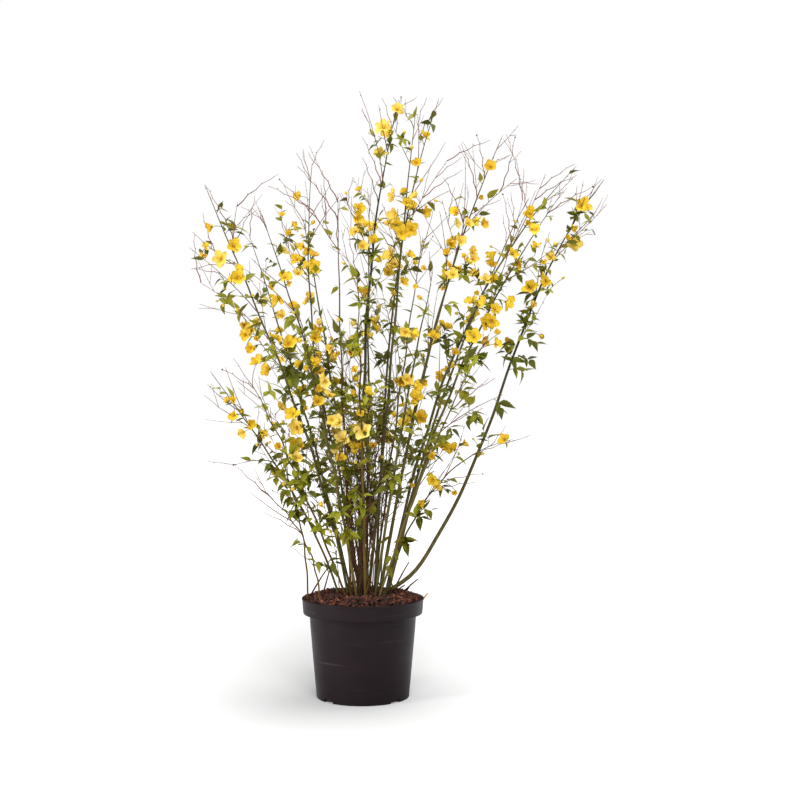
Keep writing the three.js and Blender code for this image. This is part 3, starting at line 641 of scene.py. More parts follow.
def bare_twig(shrub, root, course, length, thick, depth, hue, draw):
    """A fine twig that bends a little at each of its buds, and may fork into finer ones."""
    steps = max(3, round(length / 19))
    points, at, towards = [root], root, course
    turn = draw() * 360
    for k in range(steps):
        towards = unit(out_of(towards, turn + 180 * k, 5 + 6 * draw()) + UP * 0.035)
        at = at + towards * (length / steps)
        if not inside(at):
            break
        points.append(at)
    if len(points) < 3:
        return
    points = np.array(points)
    shares = np.linspace(0, 1, len(points))
    shrub.stems.append((points, thick * (1 - shares) + 0.34 * shares, hue))
    for k in range(1, len(points) - 1):
        course = course_of(points, k)
        shrub.nubs.append((points[k], out_of(course, turn + 180 * k, 30), 2.2 + 1.4 * draw()))
        if depth and draw() < 0.22:
            swing = turn + 180 * k + 60 * (draw() - 0.5)
            reach = length * (0.35 + 0.35 * draw()) * (1 - 0.4 * shares[k])
            bare_twig(shrub, points[k], out_of(course, swing, 24 + 18 * draw()), reach,
                      max(0.5, thick * 0.65), depth - 1, hue, draw)
    if draw() < 0.06:
        shrub.seeds.append((points[-1], course_of(points), 3.0 + 1.6 * draw()))


def dress_limb(shrub, line, thick, start, gap, hue, leafiness, tip, showy, draw):
    """Shoots, flowers and fine twigs along a limb, from a share of its length upwards. Above the share tip it
    stays bare but for fine twigs."""
    joints = int(length_of(line) * (1 - start) / gap)
    tint = any_tint(draw)
    for k in range(joints):
        up = (k + 0.5) / joints
        at, course = place_on(line, start + up * (1 - start))
        turn = k * GOLDEN_ANGLE + 50 * draw()
        kind, more = draw(), draw()
        here = growth_share(at)
        if kind < by_height(LEAFY, at[2]) * leafiness * here and up <= tip:
            flowers = (1 if more < 0.35 else 2 if more < 0.8 else 3)
            flowers *= draw() < by_height(FLOWERY, at[2]) * showy
            leaves = 1 + int((1.2 + 2.4 * draw()) * by_height(LUSHNESS, at[2]))
            leafy_shoot(shrub, at, out_of(course, turn, 40 + 22 * draw()), 10 + 26 * draw(), leaves, flowers,
                        tint if draw() < 0.7 else any_tint(draw), draw)
        elif kind > 1 - by_height(TWIGGY, at[2]) * (0.4 + 0.6 * showy) * here:
            bare_twig(shrub, at, out_of(course, turn, 22 + 18 * draw()),
                      (60 + 110 * more) * min(1, thick / 1.3), min(1.0, thick * 0.7), 1, hue, draw)
        else:
            shrub.nubs.append((at + course * 0.5, out_of(course, turn, 30), 3.0 + 1.6 * draw()))


def limb_of(own, draw):
    """A cane's smooth centre line, a little wavy, and its radii, which swell at its joints."""
    cane = CANES[own]
    line = smooth_line(AXES[own], LIMB_STEPS)
    shares = np.linspace(0, 1, len(line))
    phase = 6.28 * draw()
    sway = np.sin(shares * (26 + 8 * draw()) + phase) * np.sin(shares * math.pi) * 1.9
    line = line + unit(np.array([draw() - 0.5, draw() - 0.5, 0.0])) * sway[:, None]
    foot_share = 0.78
    if cane.name == "right_sweep":
        foot_share = 1
        high = line[:, 2].copy()
        line[:, 0] += np.interp(high, *SWEEP_ASIDE)
        line[:, 2] += np.interp(high, *SWEEP_SAG)
        for _ in range(5):
            line[1:-1] = (line[:-2] + 2 * line[1:-1] + line[2:]) / 4
    radii = np.array([radius_at(own, s) for s in shares])
    radii *= np.interp(shares, (0, 0.35, 0.75, 1), (foot_share, 0.88, 0.85, 0.6))
    radii[0] *= 1.12
    joint = np.abs((shares * AXIS_STEPS * 2.5 + 0.3) % 1 - 0.5) * 2
    radii *= 0.95 + 0.09 * np.clip((joint - 0.7) / 0.3, 0, 1)
    radii[-1] = 0.35
    return line, radii


def grow_cane(shrub, own):
    """A cane's smooth limb, and all that grows on it and on its side branches."""
    cane = CANES[own]
    draw = seeded(CANE_SEEDS[0] + CANE_SEEDS[1] * own)
    showy = 0.9 if cane.name.startswith("back") else 0.12
    line, radii = limb_of(own, draw)
    shrub.canes.append((line, radii, BARKS.index(cane.bark)))
    dress_limb(shrub, line, 1.6, cane.bare / AXIS_STEPS, 21, OLIVE, 0.7 + 0.3 * showy, 0.9, showy, draw)
    shrub.carriers.append(line[LIMB_STEPS * cane.bare:])
    for k in range(2):
        if draw() <= growth_share(line[-4 + k]):
            course = out_of(course_of(AXES[own]), 180 * k + 90 * draw(), 12 + 14 * draw())
            bare_twig(shrub, line[-4 + k], course, 50 + 50 * draw(), 0.8, 1, BROWN, draw)
    twigs, leaves, blooms = framework(own)
    for points, thick, share in twigs:
        steps = np.linspace(0, 1, len(points))
        radii = thick * 0.85 * (1 - steps) + 0.4 * steps
        shrub.stems.append((points, radii, OLIVE if share < 0.6 else BROWN))
        high = float(np.interp(points[-1][2], (700, 1000), (0.85, 0.45)))
        dress_limb(shrub, points, 1.0, 0.12, 20, BROWN, 0.75, high, showy, draw)
        shrub.carriers.append(points)
        if draw() < 0.5 * growth_share(points[-1]):
            bare_twig(shrub, points[-2], out_of(course_of(points), 360 * draw(), 14 + 16 * draw()),
                      35 + 50 * draw(), 0.55, 1, BROWN, draw)
    for root, course, size in leaves:
        if draw() < by_height(LUSHNESS, root[2]) * growth_share(root):
            leafy_shoot(shrub, root, course, 8 + 10 * size, 1 + int(2.4 * draw()), 0, any_tint(draw), draw)
    for root, course, size, is_open in blooms:
        end = root + course * 18
        shrub.stems.append((bow(root, course, end, (0, 0.5, 1)), (0.7, 0.6, 0.6), GREEN))
        if draw() < (0.25 + 0.75 * showy) * growth_share(root):
            radius = 17 * size * (0.8 + 0.25 * draw())
            add_flower(shrub, end, course, radius, (0.45 + 0.55 * draw()) * is_open, draw)
        aside = out_of(course, 360 * draw(), 50)
        add_leaf(shrub, root + course * 8, aside, 20 + 12 * draw(), any_tint(draw), draw)


def grow_thicket(shrub):
    """The thin upright stems that stand between the canes in the lower middle."""
    draw = seeded(THICKET_SEED)
    fanned = [own for own, cane in enumerate(CANES)
              if not cane.name.startswith("rim_l") and cane.name != "right_sweep"]
    inner = [own for own in fanned if math.hypot(CANES[own].tip[0] - 40, CANES[own].tip[1]) < 270
             and not CANES[own].name.startswith("right")]
    for _ in range(THICKET_STEMS):
        axis = AXES[inner[int(draw() * len(inner))]]
        other = AXES[fanned[int(draw() * len(fanned))]]
        blend = 0.1 + 0.7 * draw()
        turn, off = 360 * draw(), 5 + 22 * draw()
        aside = np.array([*cos_sin(turn), 0.0]) * off
        last = 0.26 + 0.42 * draw()
        shares = np.linspace(0, last, 12)
        lean = turned(aside, UP, 90 * (draw() - 0.5))
        line = np.array([place_on(axis, s)[0] + aside * (1 + 2.2 * s) + lean * (4.2 * s) for s in shares])
        line += np.array([(place_on(other, s)[0] - place_on(axis, s)[0]) * blend * s / last for s in shares])
        line += np.array([[draw() - 0.5, draw() - 0.5, 0] for _ in shares]) * 9
        line[0, 2] = soil_height(*line[0, :2]) - 4
        line = line[:next((i for i, at in enumerate(line) if i > 2 and growth_share(at) < 0.55), len(line))]
        radii = np.linspace(0.9 + 1.1 * draw(), 0.45, len(line))
        hue = THICKET_HUES[int(draw() * len(THICKET_HUES))]
        shrub.stems.append((line, radii, hue))
        for fork in range(3, len(line) - 2, 2):
            bare_twig(shrub, line[fork], out_of(course_of(line, fork), 360 * draw(), 24 + 22 * draw()),
                      50 + 60 * draw(), 0.8, 1, BROWN if fork % 4 == 1 else hue, draw)
        dress_limb(shrub, line, 1.0, 0.25, 26, DARK, 0.5, 0.9, 0.5, draw)


class Carriers:
    """Places along all canes and side branches, where picture-placed growth may set on."""

    def __init__(self, lines):
        places = [place_on(line, s) for line in lines
                  for s in np.linspace(0.02, 0.995, max(3, 4 * len(line)))]
        self.at, self.course = map(np.array, zip(*places))
        self.across, self.down = pixel_of(self.at)
        self.crowding = np.zeros(len(self.at))

    def nearest(self, across, down, below):
        """The place nearest to a little below a pixel, those in front before those behind."""
        i = np.argmin(np.hypot(self.across - across, self.down - down - below) + self.at[:, 1] / 60)
        return self.at[i], self.course[i]

    def forking(self, across, down, draw):
        """The place from which a twig to a pixel leaves its carrier at a natural angle and length."""
        tips = np.array([seen_at(across, down, depth) for depth in self.at[:, 1]])
        offset = tips - self.at
        reach = np.linalg.norm(offset, axis=1) + 1e-6
        bend = np.degrees(np.arccos(np.clip((offset * self.course).sum(-1) / reach, -1, 1)))
        cost = np.abs(bend - 24 - 18 * draw()) / 12 + np.abs(reach - 60 - 50 * draw()) / 40
        i = np.argmin(cost + self.at[:, 1] / 300 + self.crowding)
        self.crowding += 1.2 * (np.linalg.norm(self.at - self.at[i], axis=1) < 24)
        return self.at[i], self.course[i], tips[i]


def seen_flower(shrub, carriers, across, down, size, tint, draw):
    """A flower or bud where the picture shows one, on a stalk from the nearest limb."""
    low, high, openness = FLOWER_SIZES[size]
    root, course = carriers.nearest(across, down, 6)
    end = seen_at(across, down + 2, root[1] - 7 - 8 * draw())
    if not inside(end, 6.0):
        return
    leaving = unit(unit(end - root) + course * 0.8)
    line = bow(root, leaving, end, (0, 0.33, 0.67, 1))
    shrub.stems.append((line, (0.75, 0.65, 0.6, 0.6), OLIVE if size == "small" else GREEN))
    aside = np.array([1.6 * (draw() - 0.5), -0.2 - 0.6 * draw(), -0.15 + 0.65 * draw()])
    towards = unit(unit(end - line[2]) * 0.6 + aside)
    openness += 0.28 * draw() * (size != "bud")
    radius = low + (high - low) * draw()
    add_flower(shrub, end, towards, radius, openness, draw, FLOWER_FINISHES[tint][int(4 * draw())])
    if draw() < 0.65:
        add_leaf(shrub, line[1], out_of(leaving, 360 * draw(), 52), 15 + 14 * draw(), any_tint(draw), draw)


def seen_tuft(shrub, carriers, across, down, draw):
    """A tuft of leaves where the picture shows one."""
    root, course = carriers.nearest(across, down, 4)
    end = seen_at(across, down, root[1] - 5 - 8 * draw())
    tint, turn = any_tint(draw), 360 * draw()
    line = bow(root, unit(unit(end - root) + course * 0.8), end, (0, 0.5, 1))
    shrub.stems.append((line, (0.75, 0.6, 0.5), GREEN))
    for k in range(4 + int(2 * draw())):
        at, towards = place_on(line, 0.35 + 0.16 * k if k < 4 else 0.95)
        outward = out_of(towards, turn + GOLDEN_ANGLE * k, 40 + 35 * draw())
        size = (23 + 13 * draw()) * (0.65 + 0.35 * by_height(LUSHNESS, end[2]))
        add_leaf(shrub, at, outward, size, tint, draw)


def seen_tip(shrub, carriers, across, down, draw):
    """A bare twig whose tip the picture shows."""
    root, course, tip = carriers.forking(across, down, draw)
    reach = math.dist(root, tip)
    if not inside(tip, 0.5):
        tip = np.clip(tip, LOW + 1, HIGH - 1)
    leaving = unit(unit(tip - root) + course * 0.35)
    steps = max(4, round(reach / 17))
    shares = np.linspace(0, 1, steps + 1)
    line = bow(root, leaving, tip, shares)
    side = unit(cross(leaving, np.array([0.0, -1.0, 0.0])))
    for k in range(1, steps):
        line[k] += side * (1.4 if k % 2 else -1.4)
    thick = float(np.clip(reach / 90, 0.75, 1.25))
    shrub.stems.append((line, thick * (1 - shares) + 0.38 * shares, BROWN))
    for k in range(1, steps):
        shrub.nubs.append((line[k], unit(side * (1 if k % 2 else -1) + UP), 2.4 + 1.4 * draw()))
        if draw() < 0.11 and k < steps - 1:
            bare_twig(shrub, line[k], out_of(course_of(line, k), 360 * draw(), 28), 30 + 40 * draw(), 0.5, 0,
                      BROWN, draw)
    if draw() < 0.16:
        shrub.seeds.append((line[-1], course_of(line), 3.4 + 1.8 * draw()))


def grow_as_seen(shrub):
    """The flowers, leaf tufts, bare tips and stubs that the picture shows."""
    draw = seeded(PICTURE_SEED)
    carriers = Carriers(shrub.carriers)
    for (size, tint), places in FLOWERS.items():
        for across, down in places:
            seen_flower(shrub, carriers, across, down, size, tint, draw)
    for across, down in TUFTS:
        seen_tuft(shrub, carriers, across, down, draw)
    for across, down in TIPS:
        seen_tip(shrub, carriers, across, down, draw)
    for across, down, to_across, to_down, depth in STUBS:
        foot = seen_at(across, down, depth)
        foot[2] = soil_height(*foot[:2]) - 3
        tip = seen_at(to_across, to_down, depth)
        line = bow(foot, unit(unit(tip - foot) + UP * 0.2), tip, (0, 0.35, 0.7, 1))
        shrub.stems.append((line, (2.0, 1.7, 1.5, 1.2), STRAW if across > 420 else DARK))


@functools.cache
def shrub():
    grown = Shrub()
    for own in range(len(CANES)):
        grow_cane(grown, own)
    grow_thicket(grown)
    grow_as_seen(grown)
    return grown


def settings():
    return bpy.context.scene.kerria


def feed(made, inputs):
    """Set a node's inputs, by their names: a value is set, and another node or its output is linked."""
    for label, value in inputs.items():
        value = value.outputs[0] if isinstance(value, bpy.types.Node) else value
        if isinstance(value, bpy.types.NodeSocket):
            made.id_data.links.new(value, made.inputs[label])
        else:
            made.inputs[label].default_value = value


def node(tree, kind, inputs=None, **options):
    made = tree.nodes.new("ShaderNode" + kind)
    for option, value in options.items():
        setattr(made, option, value)
    feed(made, inputs or {})
    return made


def spread(tree, value, low, high, to_low=0.0, to_high=1.0):
    """A value spread from one range over another."""
    return node(tree, "MapRange",
                {"Value": value, "From Min": low, "From Max": high, "To Min": to_low, "To Max": to_high})


def noise_at(tree, place, scale, detail, roughness=0.5):
    return node(tree, "TexNoise", {"Vector": place, "Scale": scale, "Detail": detail, "Roughness": roughness})


def group_of(name, inputs, outputs):
    """An empty node group with named float, colour and vector sockets."""
    tree = bpy.data.node_groups.new(name, "ShaderNodeTree")
    for way, sockets in (("INPUT", inputs), ("OUTPUT", outputs)):
        for label, kind in sockets.items():
            tree.interface.new_socket(label, in_out=way, socket_type="NodeSocket" + kind)
    return tree, tree.nodes.new("NodeGroupInput").outputs, tree.nodes.new("NodeGroupOutput")


def mottle_group():
    """Two nearby shades of one colour in soft patches, with a fine grain for relief."""
    if "mottle" in bpy.data.node_groups:
        return bpy.data.node_groups["mottle"]
    inputs = {"Colour": "Color", "Shade": "Color", "Scale": "Float", "Stretch": "Vector", "Amount": "Float"}
    tree, given, result = group_of("mottle", inputs, {"Colour": "Color", "Grain": "Float"})
    place = node(tree, "TexCoord").outputs["Object"]
    place = node(tree, "Mapping", {"Vector": place, "Scale": given["Stretch"]})
    finer = node(tree, "Math", {0: given["Scale"], 1: 5.0}, operation="MULTIPLY")
    patches = noise_at(tree, place, given["Scale"], 3.0, 0.55)
    grain = noise_at(tree, place, finer, 2.0, 0.6)
    spots = spread(tree, patches, 0.35, 0.65)
    share = node(tree, "Math", {0: spots, 1: given["Amount"]}, operation="MULTIPLY")
    mix = node(tree, "Mix", {"Factor": share, "A": given["Colour"], "B": given["Shade"]}, data_type="RGBA")
    feed(result, {"Colour": mix.outputs["Result"], "Grain": grain})
    return tree


def rise_group():
    """A colour that turns into another one up the plant, between the foot and the crown."""
    if "rise" in bpy.data.node_groups:
        return bpy.data.node_groups["rise"]
    tree, given, result = group_of("rise", {"Foot": "Color", "Crown": "Color"}, {"Colour": "Color"})
    split = node(tree, "SeparateXYZ", {"Vector": node(tree, "TexCoord").outputs["Object"]})
    height = spread(tree, split.outputs["Z"], 0.3, 0.75)
    mix = node(tree, "Mix", {"Factor": height, "A": given["Foot"], "B": given["Crown"]}, data_type="RGBA")
    feed(result, {"Colour": mix.outputs["Result"]})
    return tree


def finish_of(name, colour, shade=0.6, scale=60.0, stretch=(1, 1, 1), amount=0.6, relief=0.2, depth=0.0006,
              crown=None, **sockets):
    """A material: a mottled colour and its darker shade, a fine relief, and plain values on the shader's
    sockets, by their names with _ for a space. The colour may turn into a crown colour up the plant."""
    material = bpy.data.materials.new(name)
    material.use_nodes = True
    tree = material.node_tree
    colour = tuple(colour)[:3]
    low = (*colour, 1)
    if crown:
        low = node(tree, "Group", {"Foot": low, "Crown": (*crown, 1)}, node_tree=rise_group())
    mottle = node(tree, "Group", node_tree=mottle_group())
    feed(mottle, {"Colour": low, "Shade": (*(c * shade for c in colour), 1), "Scale": scale,
                  "Stretch": stretch, "Amount": amount})
    bump = node(tree, "Bump", {"Strength": relief, "Distance": depth, "Height": mottle.outputs["Grain"]})
    plain = {label.replace("_", " "): value for label, value in sockets.items()}
    feed(tree.nodes["Principled BSDF"], {"Base Color": mottle, "Normal": bump} | plain)
    material.diffuse_color = (*colour, 1)
    return material


def shades(name, colours, crowns=(), **look):
    """A family of finishes, one for each colour."""
    pairs = enumerate(itertools.zip_longest(colours, crowns), 1)
    return [finish_of(f"{name}_{k}", colour, crown=crown, **look) for k, (colour, crown) in pairs]


def tinted(colour, pairs):
    """Colours around one: each pair brightens it and turns it towards red."""
    return [(min(1, colour[0] * a * b), min(1, colour[1] * a), min(1, colour[2] * a / b)) for a, b in pairs]


def in_scene(name, data):
    """A new object of the scene."""
    made = bpy.data.objects.new(name, data)
    bpy.context.scene.collection.objects.link(made)
    return made


def add_piece(name, mesh, materials, nodes=()):
    """A finished mesh as a piece of the plant, riding on its one body."""
    piece = in_scene(name, mesh)
    for material in materials:
        if material.name not in mesh.materials:
            mesh.materials.append(material)
    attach(piece, "root")
    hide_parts(*nodes)
    return piece


def mesh_of(name, bm):
    bmesh.ops.remove_doubles(bm, verts=bm.verts, dist=MERGE)
    bmesh.ops.recalc_face_normals(bm, faces=bm.faces)
    mesh = bpy.data.meshes.new(name)
    bm.to_mesh(mesh)
    bm.free()
    mesh.shade_smooth()
    return mesh


def smooth_by_angle(mesh, degrees):
    """Smooth faces with a crisp edge wherever two meet at a sharper angle."""
    mesh.shade_smooth()
    mesh.set_sharp_from_angle(angle=math.radians(degrees))


def mesh_now(holder):
    """The mesh of an object as it stands, with its modifiers."""
    graph = bpy.context.evaluated_depsgraph_get()
    return bpy.data.meshes.new_from_object(holder.evaluated_get(graph))


def shape_of(bm):
    """A small shape as arrays, to be repeated: its points, its faces' corners, their counts and materials."""
    bmesh.ops.recalc_face_normals(bm, faces=bm.faces)
    bm.verts.index_update()
    lists = ([v.co for v in bm.verts], [v.index for face in bm.faces for v in face.verts],
             [len(face.verts) for face in bm.faces], [face.material_index for face in bm.faces])
    arrays = [np.array(values) for values in lists]
    bm.free()
    return arrays


def repeat(name, batches):
    """One mesh of many copies of small shapes. A batch is a shape, its places as 3x3 turns with sizes, its
    middles in millimetres, and the first material of each copy."""
    rows, base = [], 0
    for (points, corners, counts, inks), turns, middles, tints in batches:
        copies = len(middles)
        offsets = base + np.arange(copies) * len(points)
        places = np.einsum("nij,pj->npi", turns, points) + middles[:, None]
        rows.append((places.reshape(-1, 3), (corners + offsets[:, None]).ravel(), np.tile(counts, copies),
                     (inks + tints[:, None]).ravel()))
        base += copies * len(points)
    points, corners, counts, inks = map(np.concatenate, zip(*rows))
    mesh = bpy.data.meshes.new(name)
    mesh.vertices.add(len(points))
    mesh.vertices.foreach_set("co", (points * MM).astype(np.float32).ravel())
    mesh.loops.add(len(corners))
    mesh.loops.foreach_set("vertex_index", corners.astype(np.int32))
    mesh.polygons.add(len(counts))
    mesh.polygons.foreach_set("loop_start", (np.cumsum(counts) - counts).astype(np.int32))
    mesh.polygons.foreach_set("material_index", inks.astype(np.int32))
    mesh.update(calc_edges=True)
    mesh.validate()
    mesh.shade_smooth()
    return mesh


def lying(name, shapes, groups, scale, finishes):
    """A piece of flat shapes that lie along their courses and face up: a group of rows for each shape."""
    batches = []
    for shape, rows in zip(shapes, groups):
        roots, along, upper, sizes, tints = (np.array(column) for column in list(zip(*rows))[:5])
        side = np.cross(along, upper)
        side /= np.linalg.norm(side, axis=1)[:, None]
        turns = np.stack([side, along, np.cross(side, along)], -1) * (sizes * scale)[:, None, None]
        batches.append((shape, turns, roots, tints % len(finishes)))
    add_piece(name, repeat(name, batches), finishes, SPRAY_NODES)


def upright(courses, sizes, turns):
    """Turns with sizes for shapes whose Z runs along a course, each turned about it."""
    out = []
    for course, size, turn in zip(courses, sizes, turns):
        x = turned(square_to(course), course, turn)
        out.append(np.stack([x, cross(course, x), course], -1) * size)
    return np.array(out)


def standing(name, shape, rows, spins, finishes, scale=1.0):
    """A piece of small shapes that stand along their courses, each spun about its own."""
    roots, courses, sizes = (np.array(column) for column in list(zip(*rows))[:3])
    batch = shape, upright(courses, sizes * scale, spins), roots, np.zeros(len(rows), int)
    add_piece(name, repeat(name, [batch]), finishes)


def tubes(name, lines, sides, finishes):
    """Tapering tubes along centre lines, as one mesh. sides is 0 for four sides and 3 for ten."""
    curve = bpy.data.curves.new(name, "CURVE")
    curve.dimensions = "3D"
    curve.bevel_depth = MM
    curve.bevel_resolution = sides
    curve.use_fill_caps = True
    for finish in finishes:
        curve.materials.append(finish)
    for points, radii, ink in lines:
        spline = curve.splines.new("POLY")
        spline.points.add(len(points) - 1)
        places = np.column_stack([points * MM, np.ones(len(points))])
        spline.points.foreach_set("co", places.astype(np.float32).ravel())
        spline.points.foreach_set("radius", np.asarray(radii, np.float32))
        spline.material_index = ink
        spline.use_smooth = True
    holder = in_scene(name, curve)
    bpy.context.view_layer.update()
    mesh = mesh_now(holder)
    bpy.data.objects.remove(holder)
    bpy.data.curves.remove(curve)
    bm = bmesh.new()
    bm.from_mesh(mesh)
    bmesh.ops.remove_doubles(bm, verts=bm.verts, dist=MERGE / 10)
    bmesh.ops.recalc_face_normals(bm, faces=bm.faces)
    bm.to_mesh(mesh)
    bm.free()
    mesh.name = name
    return mesh


def turned_profile(profile, steps):
    """A closed body of revolution from [radius, height] pairs that start and end on the axis."""
    bm = bmesh.new()
    verts = [bm.verts.new((radius * MM, 0, height * MM)) for radius, height in profile]
    edges = [bm.edges.new(pair) for pair in zip(verts, verts[1:])]
    bmesh.ops.spin(bm, geom=verts + edges, cent=(0, 0, 0), axis=(0, 0, 1), dvec=(0, 0, 0), angle=2 * math.pi,
                   steps=steps, use_merge=True, use_normal_flip=False, use_duplicate=False)
    bmesh.ops.remove_doubles(bm, verts=bm.verts, dist=2 * MERGE)
    return bm


def leaned(bm, verts, lean, turn):
    """Lean part of a shape over and turn it about the shape's axis."""
    for angle, axis in ((lean, "Y"), (turn, "Z")):
        spin = Matrix.Rotation(math.radians(angle), 3, axis)
        bmesh.ops.rotate(bm, cent=(0, 0, 0), matrix=spin, verts=verts)


def add_spike(bm, radius, end_radius, depth, lift, lean, turn):
    """A three-sided spike on a shape: lifted up its axis, leaned over and turned about it."""
    made = bmesh.ops.create_cone(bm, segments=3, radius1=radius, radius2=end_radius, depth=depth,
                                 cap_ends=True)["verts"]
    bmesh.ops.translate(bm, vec=(0, 0, lift), verts=made)
    leaned(bm, made, lean, turn)


def notch_cutter():
    """Four wedges that cut the drain notches, narrower at the top."""
    bm = bmesh.new()
    for k in range(4):
        made = bmesh.ops.create_cube(bm, size=1.0)["verts"]
        for v in made:
            top = v.co.z > 0
            v.co.x = FOOT_RADIUS + (NOTCH_DEPTH - 0.5) * (1 if v.co.x > 0 else -1)
            v.co.y *= 21.0 if top else 32.0
            v.co.z = NOTCH_HEIGHT if top else -NOTCH_HEIGHT
        bmesh.ops.scale(bm, vec=(MM, MM, MM), verts=made)
        leaned(bm, made, 0, 45 + 90 * k)
    return mesh_of("notch_cutter", bm)


def plastic(colour):
    """Moulded charcoal plastic: a dull sheen that varies softly, with faint scuffs round the body."""
    material = finish_of("charcoal_plastic", colour, shade=0.78, scale=9.0, stretch=(1, 1, 1.6), amount=0.7,
                         relief=0.06, depth=0.0004, Roughness=0.42, Specular_IOR_Level=0.09)
    tree = material.node_tree
    shader = tree.nodes["Principled BSDF"]
    place = node(tree, "TexCoord").outputs["Object"]
    drawn_out = node(tree, "Mapping", {"Vector": place, "Scale": (7.0, 7.0, 190.0)})
    scuffs = noise_at(tree, drawn_out, 1.0, 2.0)
    patches = noise_at(tree, place, 14.0, 3.0)
    mottled = shader.inputs["Base Color"].links[0].from_socket
    mix = node(tree, "Mix", {"Factor": spread(tree, scuffs, 0.66, 0.8, 0.0, 0.3), "A": mottled,
                             "B": (0.14, 0.13, 0.135, 1)}, data_type="RGBA")
    dull = spread(tree, patches, 0.3, 0.7, 0.36, 0.5)
    feed(shader, {"Base Color": mix.outputs["Result"], "Roughness": dull})
    return material


def make_pot():
    mesh = mesh_of("pot_shell", turned_profile(POT_PROFILE, POT_FACETS))
    piece = add_piece("nursery_pot", mesh, [plastic(settings().pot_colour)], ["pot"])
    cutter = in_scene("notch_cutter", notch_cutter())
    for kind, options in (("BOOLEAN", {"operation": "DIFFERENCE", "solver": "EXACT", "object": cutter}),
                          ("BEVEL", {"width": 0.5 * MM, "segments": 2, "limit_method": "ANGLE",
                                     "angle_limit": math.radians(50)})):
        modifier = piece.modifiers.new(kind.lower(), kind)
        for option, value in options.items():
            setattr(modifier, option, value)
    mesh = mesh_now(piece)
    piece.modifiers.clear()
    piece.data = mesh
    bpy.data.objects.remove(cutter)
    smooth_by_angle(mesh, 35)


def bark_chip(kind):
    """An irregular flat chip of bark, one unit long: the first ones are crumbs, the last ones slivers."""
    bm = bmesh.new()
    if kind < 4:
        bmesh.ops.create_icosphere(bm, subdivisions=1, radius=0.5)
    else:
        bmesh.ops.create_cube(bm, size=1.0)
        bmesh.ops.subdivide_edges(bm, edges=bm.edges, cuts=1, use_grid_fill=True)
    draw = seeded(CHIP_SHAPE_SEEDS[0] + CHIP_SHAPE_SEEDS[1] * kind)
    for v in bm.verts:
        v.co = Vector((v.co.x, v.co.y * (0.8 - 0.11 * kind), v.co.z * (0.5 - 0.06 * kind)))
        v.co += Vector([(draw() - 0.5) * size for size in (0.2, 0.2, 0.1)])
    return shape_of(bm)


def scattered_chips():
    """Places of bark chips over the soil, heaped a little round the canes, as rows for each kind of chip."""
    draw = seeded(CHIP_SEED)
    places = [[] for _ in range(CHIP_KINDS)]
    for _ in range(CHIPS):
        out = SOIL_EDGE_RADIUS * math.sqrt(draw()) * 0.985
        turn = draw() * 2 * math.pi
        x, y = out * math.cos(turn), out * math.sin(turn)
        size = min(3.6 + 12.5 * draw() ** 4, 2.4 + (SOIL_EDGE_RADIUS + 0.4 - out))
        heap = noise.noise(Vector((x * 0.03, y * 0.03, 5))) * 3.2 + 1.2
        z = soil_height(x, y) + 3.6 * draw() - 1.0 + heap + 2.2 * math.exp(-(((out - 70) / 45) ** 2))
        course = unit(np.array([draw() - 0.5, draw() - 0.5, 0.15 + 0.8 * draw()]))
        # Chips in a ring round the canes' feet, reaching farther at the back, mostly take the darkest tint:
        # painted shade under the crown.
        tint = int(draw() ** 1.3 * 6) if out > 52 + 0.25 * y or draw() < 0.35 else 3
        places[int(draw() * CHIP_KINDS)].append((np.array([x, y, z]), course, size, draw() * 360, tint))
    return places


def make_soil():
    """The root ball under its mulch: the pot's own inside, with a ragged top."""
    profile = [(0, FLOOR + CLEARANCE), (FOOT_RADIUS - WALL - 1.4, FLOOR + CLEARANCE),
               (BODY_TOP_RADIUS - WALL - 0.4, LIP_FOOT + WALL + 0.4),
               (LIP_FOOT_RADIUS - WALL - 1.0, LIP_FOOT + WALL + 0.5), (SOIL_EDGE_RADIUS - 0.6, SOIL_EDGE - 4)]
    rings = [SOIL_EDGE_RADIUS - k * (SOIL_EDGE_RADIUS / SOIL_RINGS) for k in range(1, SOIL_RINGS)]
    profile += [(radius, soil_height(radius, 0) - 1.5) for radius in rings] + [(0, SOIL_TOP - 1.5)]
    bm = turned_profile(profile, SOIL_FACETS)
    for v in bm.verts:
        if v.co.z > (SOIL_EDGE - 3) * MM:
            v.co.z += (noise.noise(v.co * 90) * 2.2 + noise.noise(v.co * 260) * 1.6) * MM
    mesh = mesh_of("root_ball", bm)
    colour = settings().mulch_colour
    peat = finish_of("peat", [c * 0.45 for c in colour], shade=0.35, scale=120, amount=0.9, relief=0.9,
                     depth=0.002, Roughness=0.95)
    add_piece("root_ball", mesh, [peat], ["soil"])
    batches = []
    for kind, rows in enumerate(scattered_chips()):
        middles, courses, sizes, turns, tints = zip(*rows)
        batches.append((bark_chip(kind), upright(courses, sizes, turns), np.array(middles), np.array(tints)))
    chips = shades("bark", tinted(colour, BARK_TINTS), shade=0.5, scale=220, amount=0.7, relief=0.6,
                   Roughness=0.9)
    add_piece("bark_mulch", repeat("bark_mulch", batches), chips)


def make_canes():
    green = settings().cane_colour
    finishes = shades("cane", tinted(green, CANE_TINTS), tinted(green, CROWN_TINTS), shade=0.5, scale=160,
                      stretch=(1, 1, 0.12), amount=0.8, relief=0.4, Roughness=0.6, Specular_IOR_Level=0.08)
    mesh = tubes("canes", shrub().canes, 3, finishes)
    for v in mesh.vertices:
        at = Vector((v.co.x * 420, v.co.y * 420, v.co.z * 26))
        v.co += v.normal * (noise.noise(at) * 0.16 * MM)
    smooth_by_angle(mesh, 60)
    add_piece("canes", mesh, finishes, ["cane_" + cane.name for cane in CANES] + SPRAY_NODES)


def nub_shape():
    """A tiny pointed winter bud one unit long."""
    bm = bmesh.new()
    bmesh.ops.create_uvsphere(bm, u_segments=3, v_segments=3, radius=0.5)
    for v in bm.verts:
        v.co = Vector((v.co.x * 0.5, v.co.y * 0.5, v.co.z + 0.45))
    return shape_of(bm)


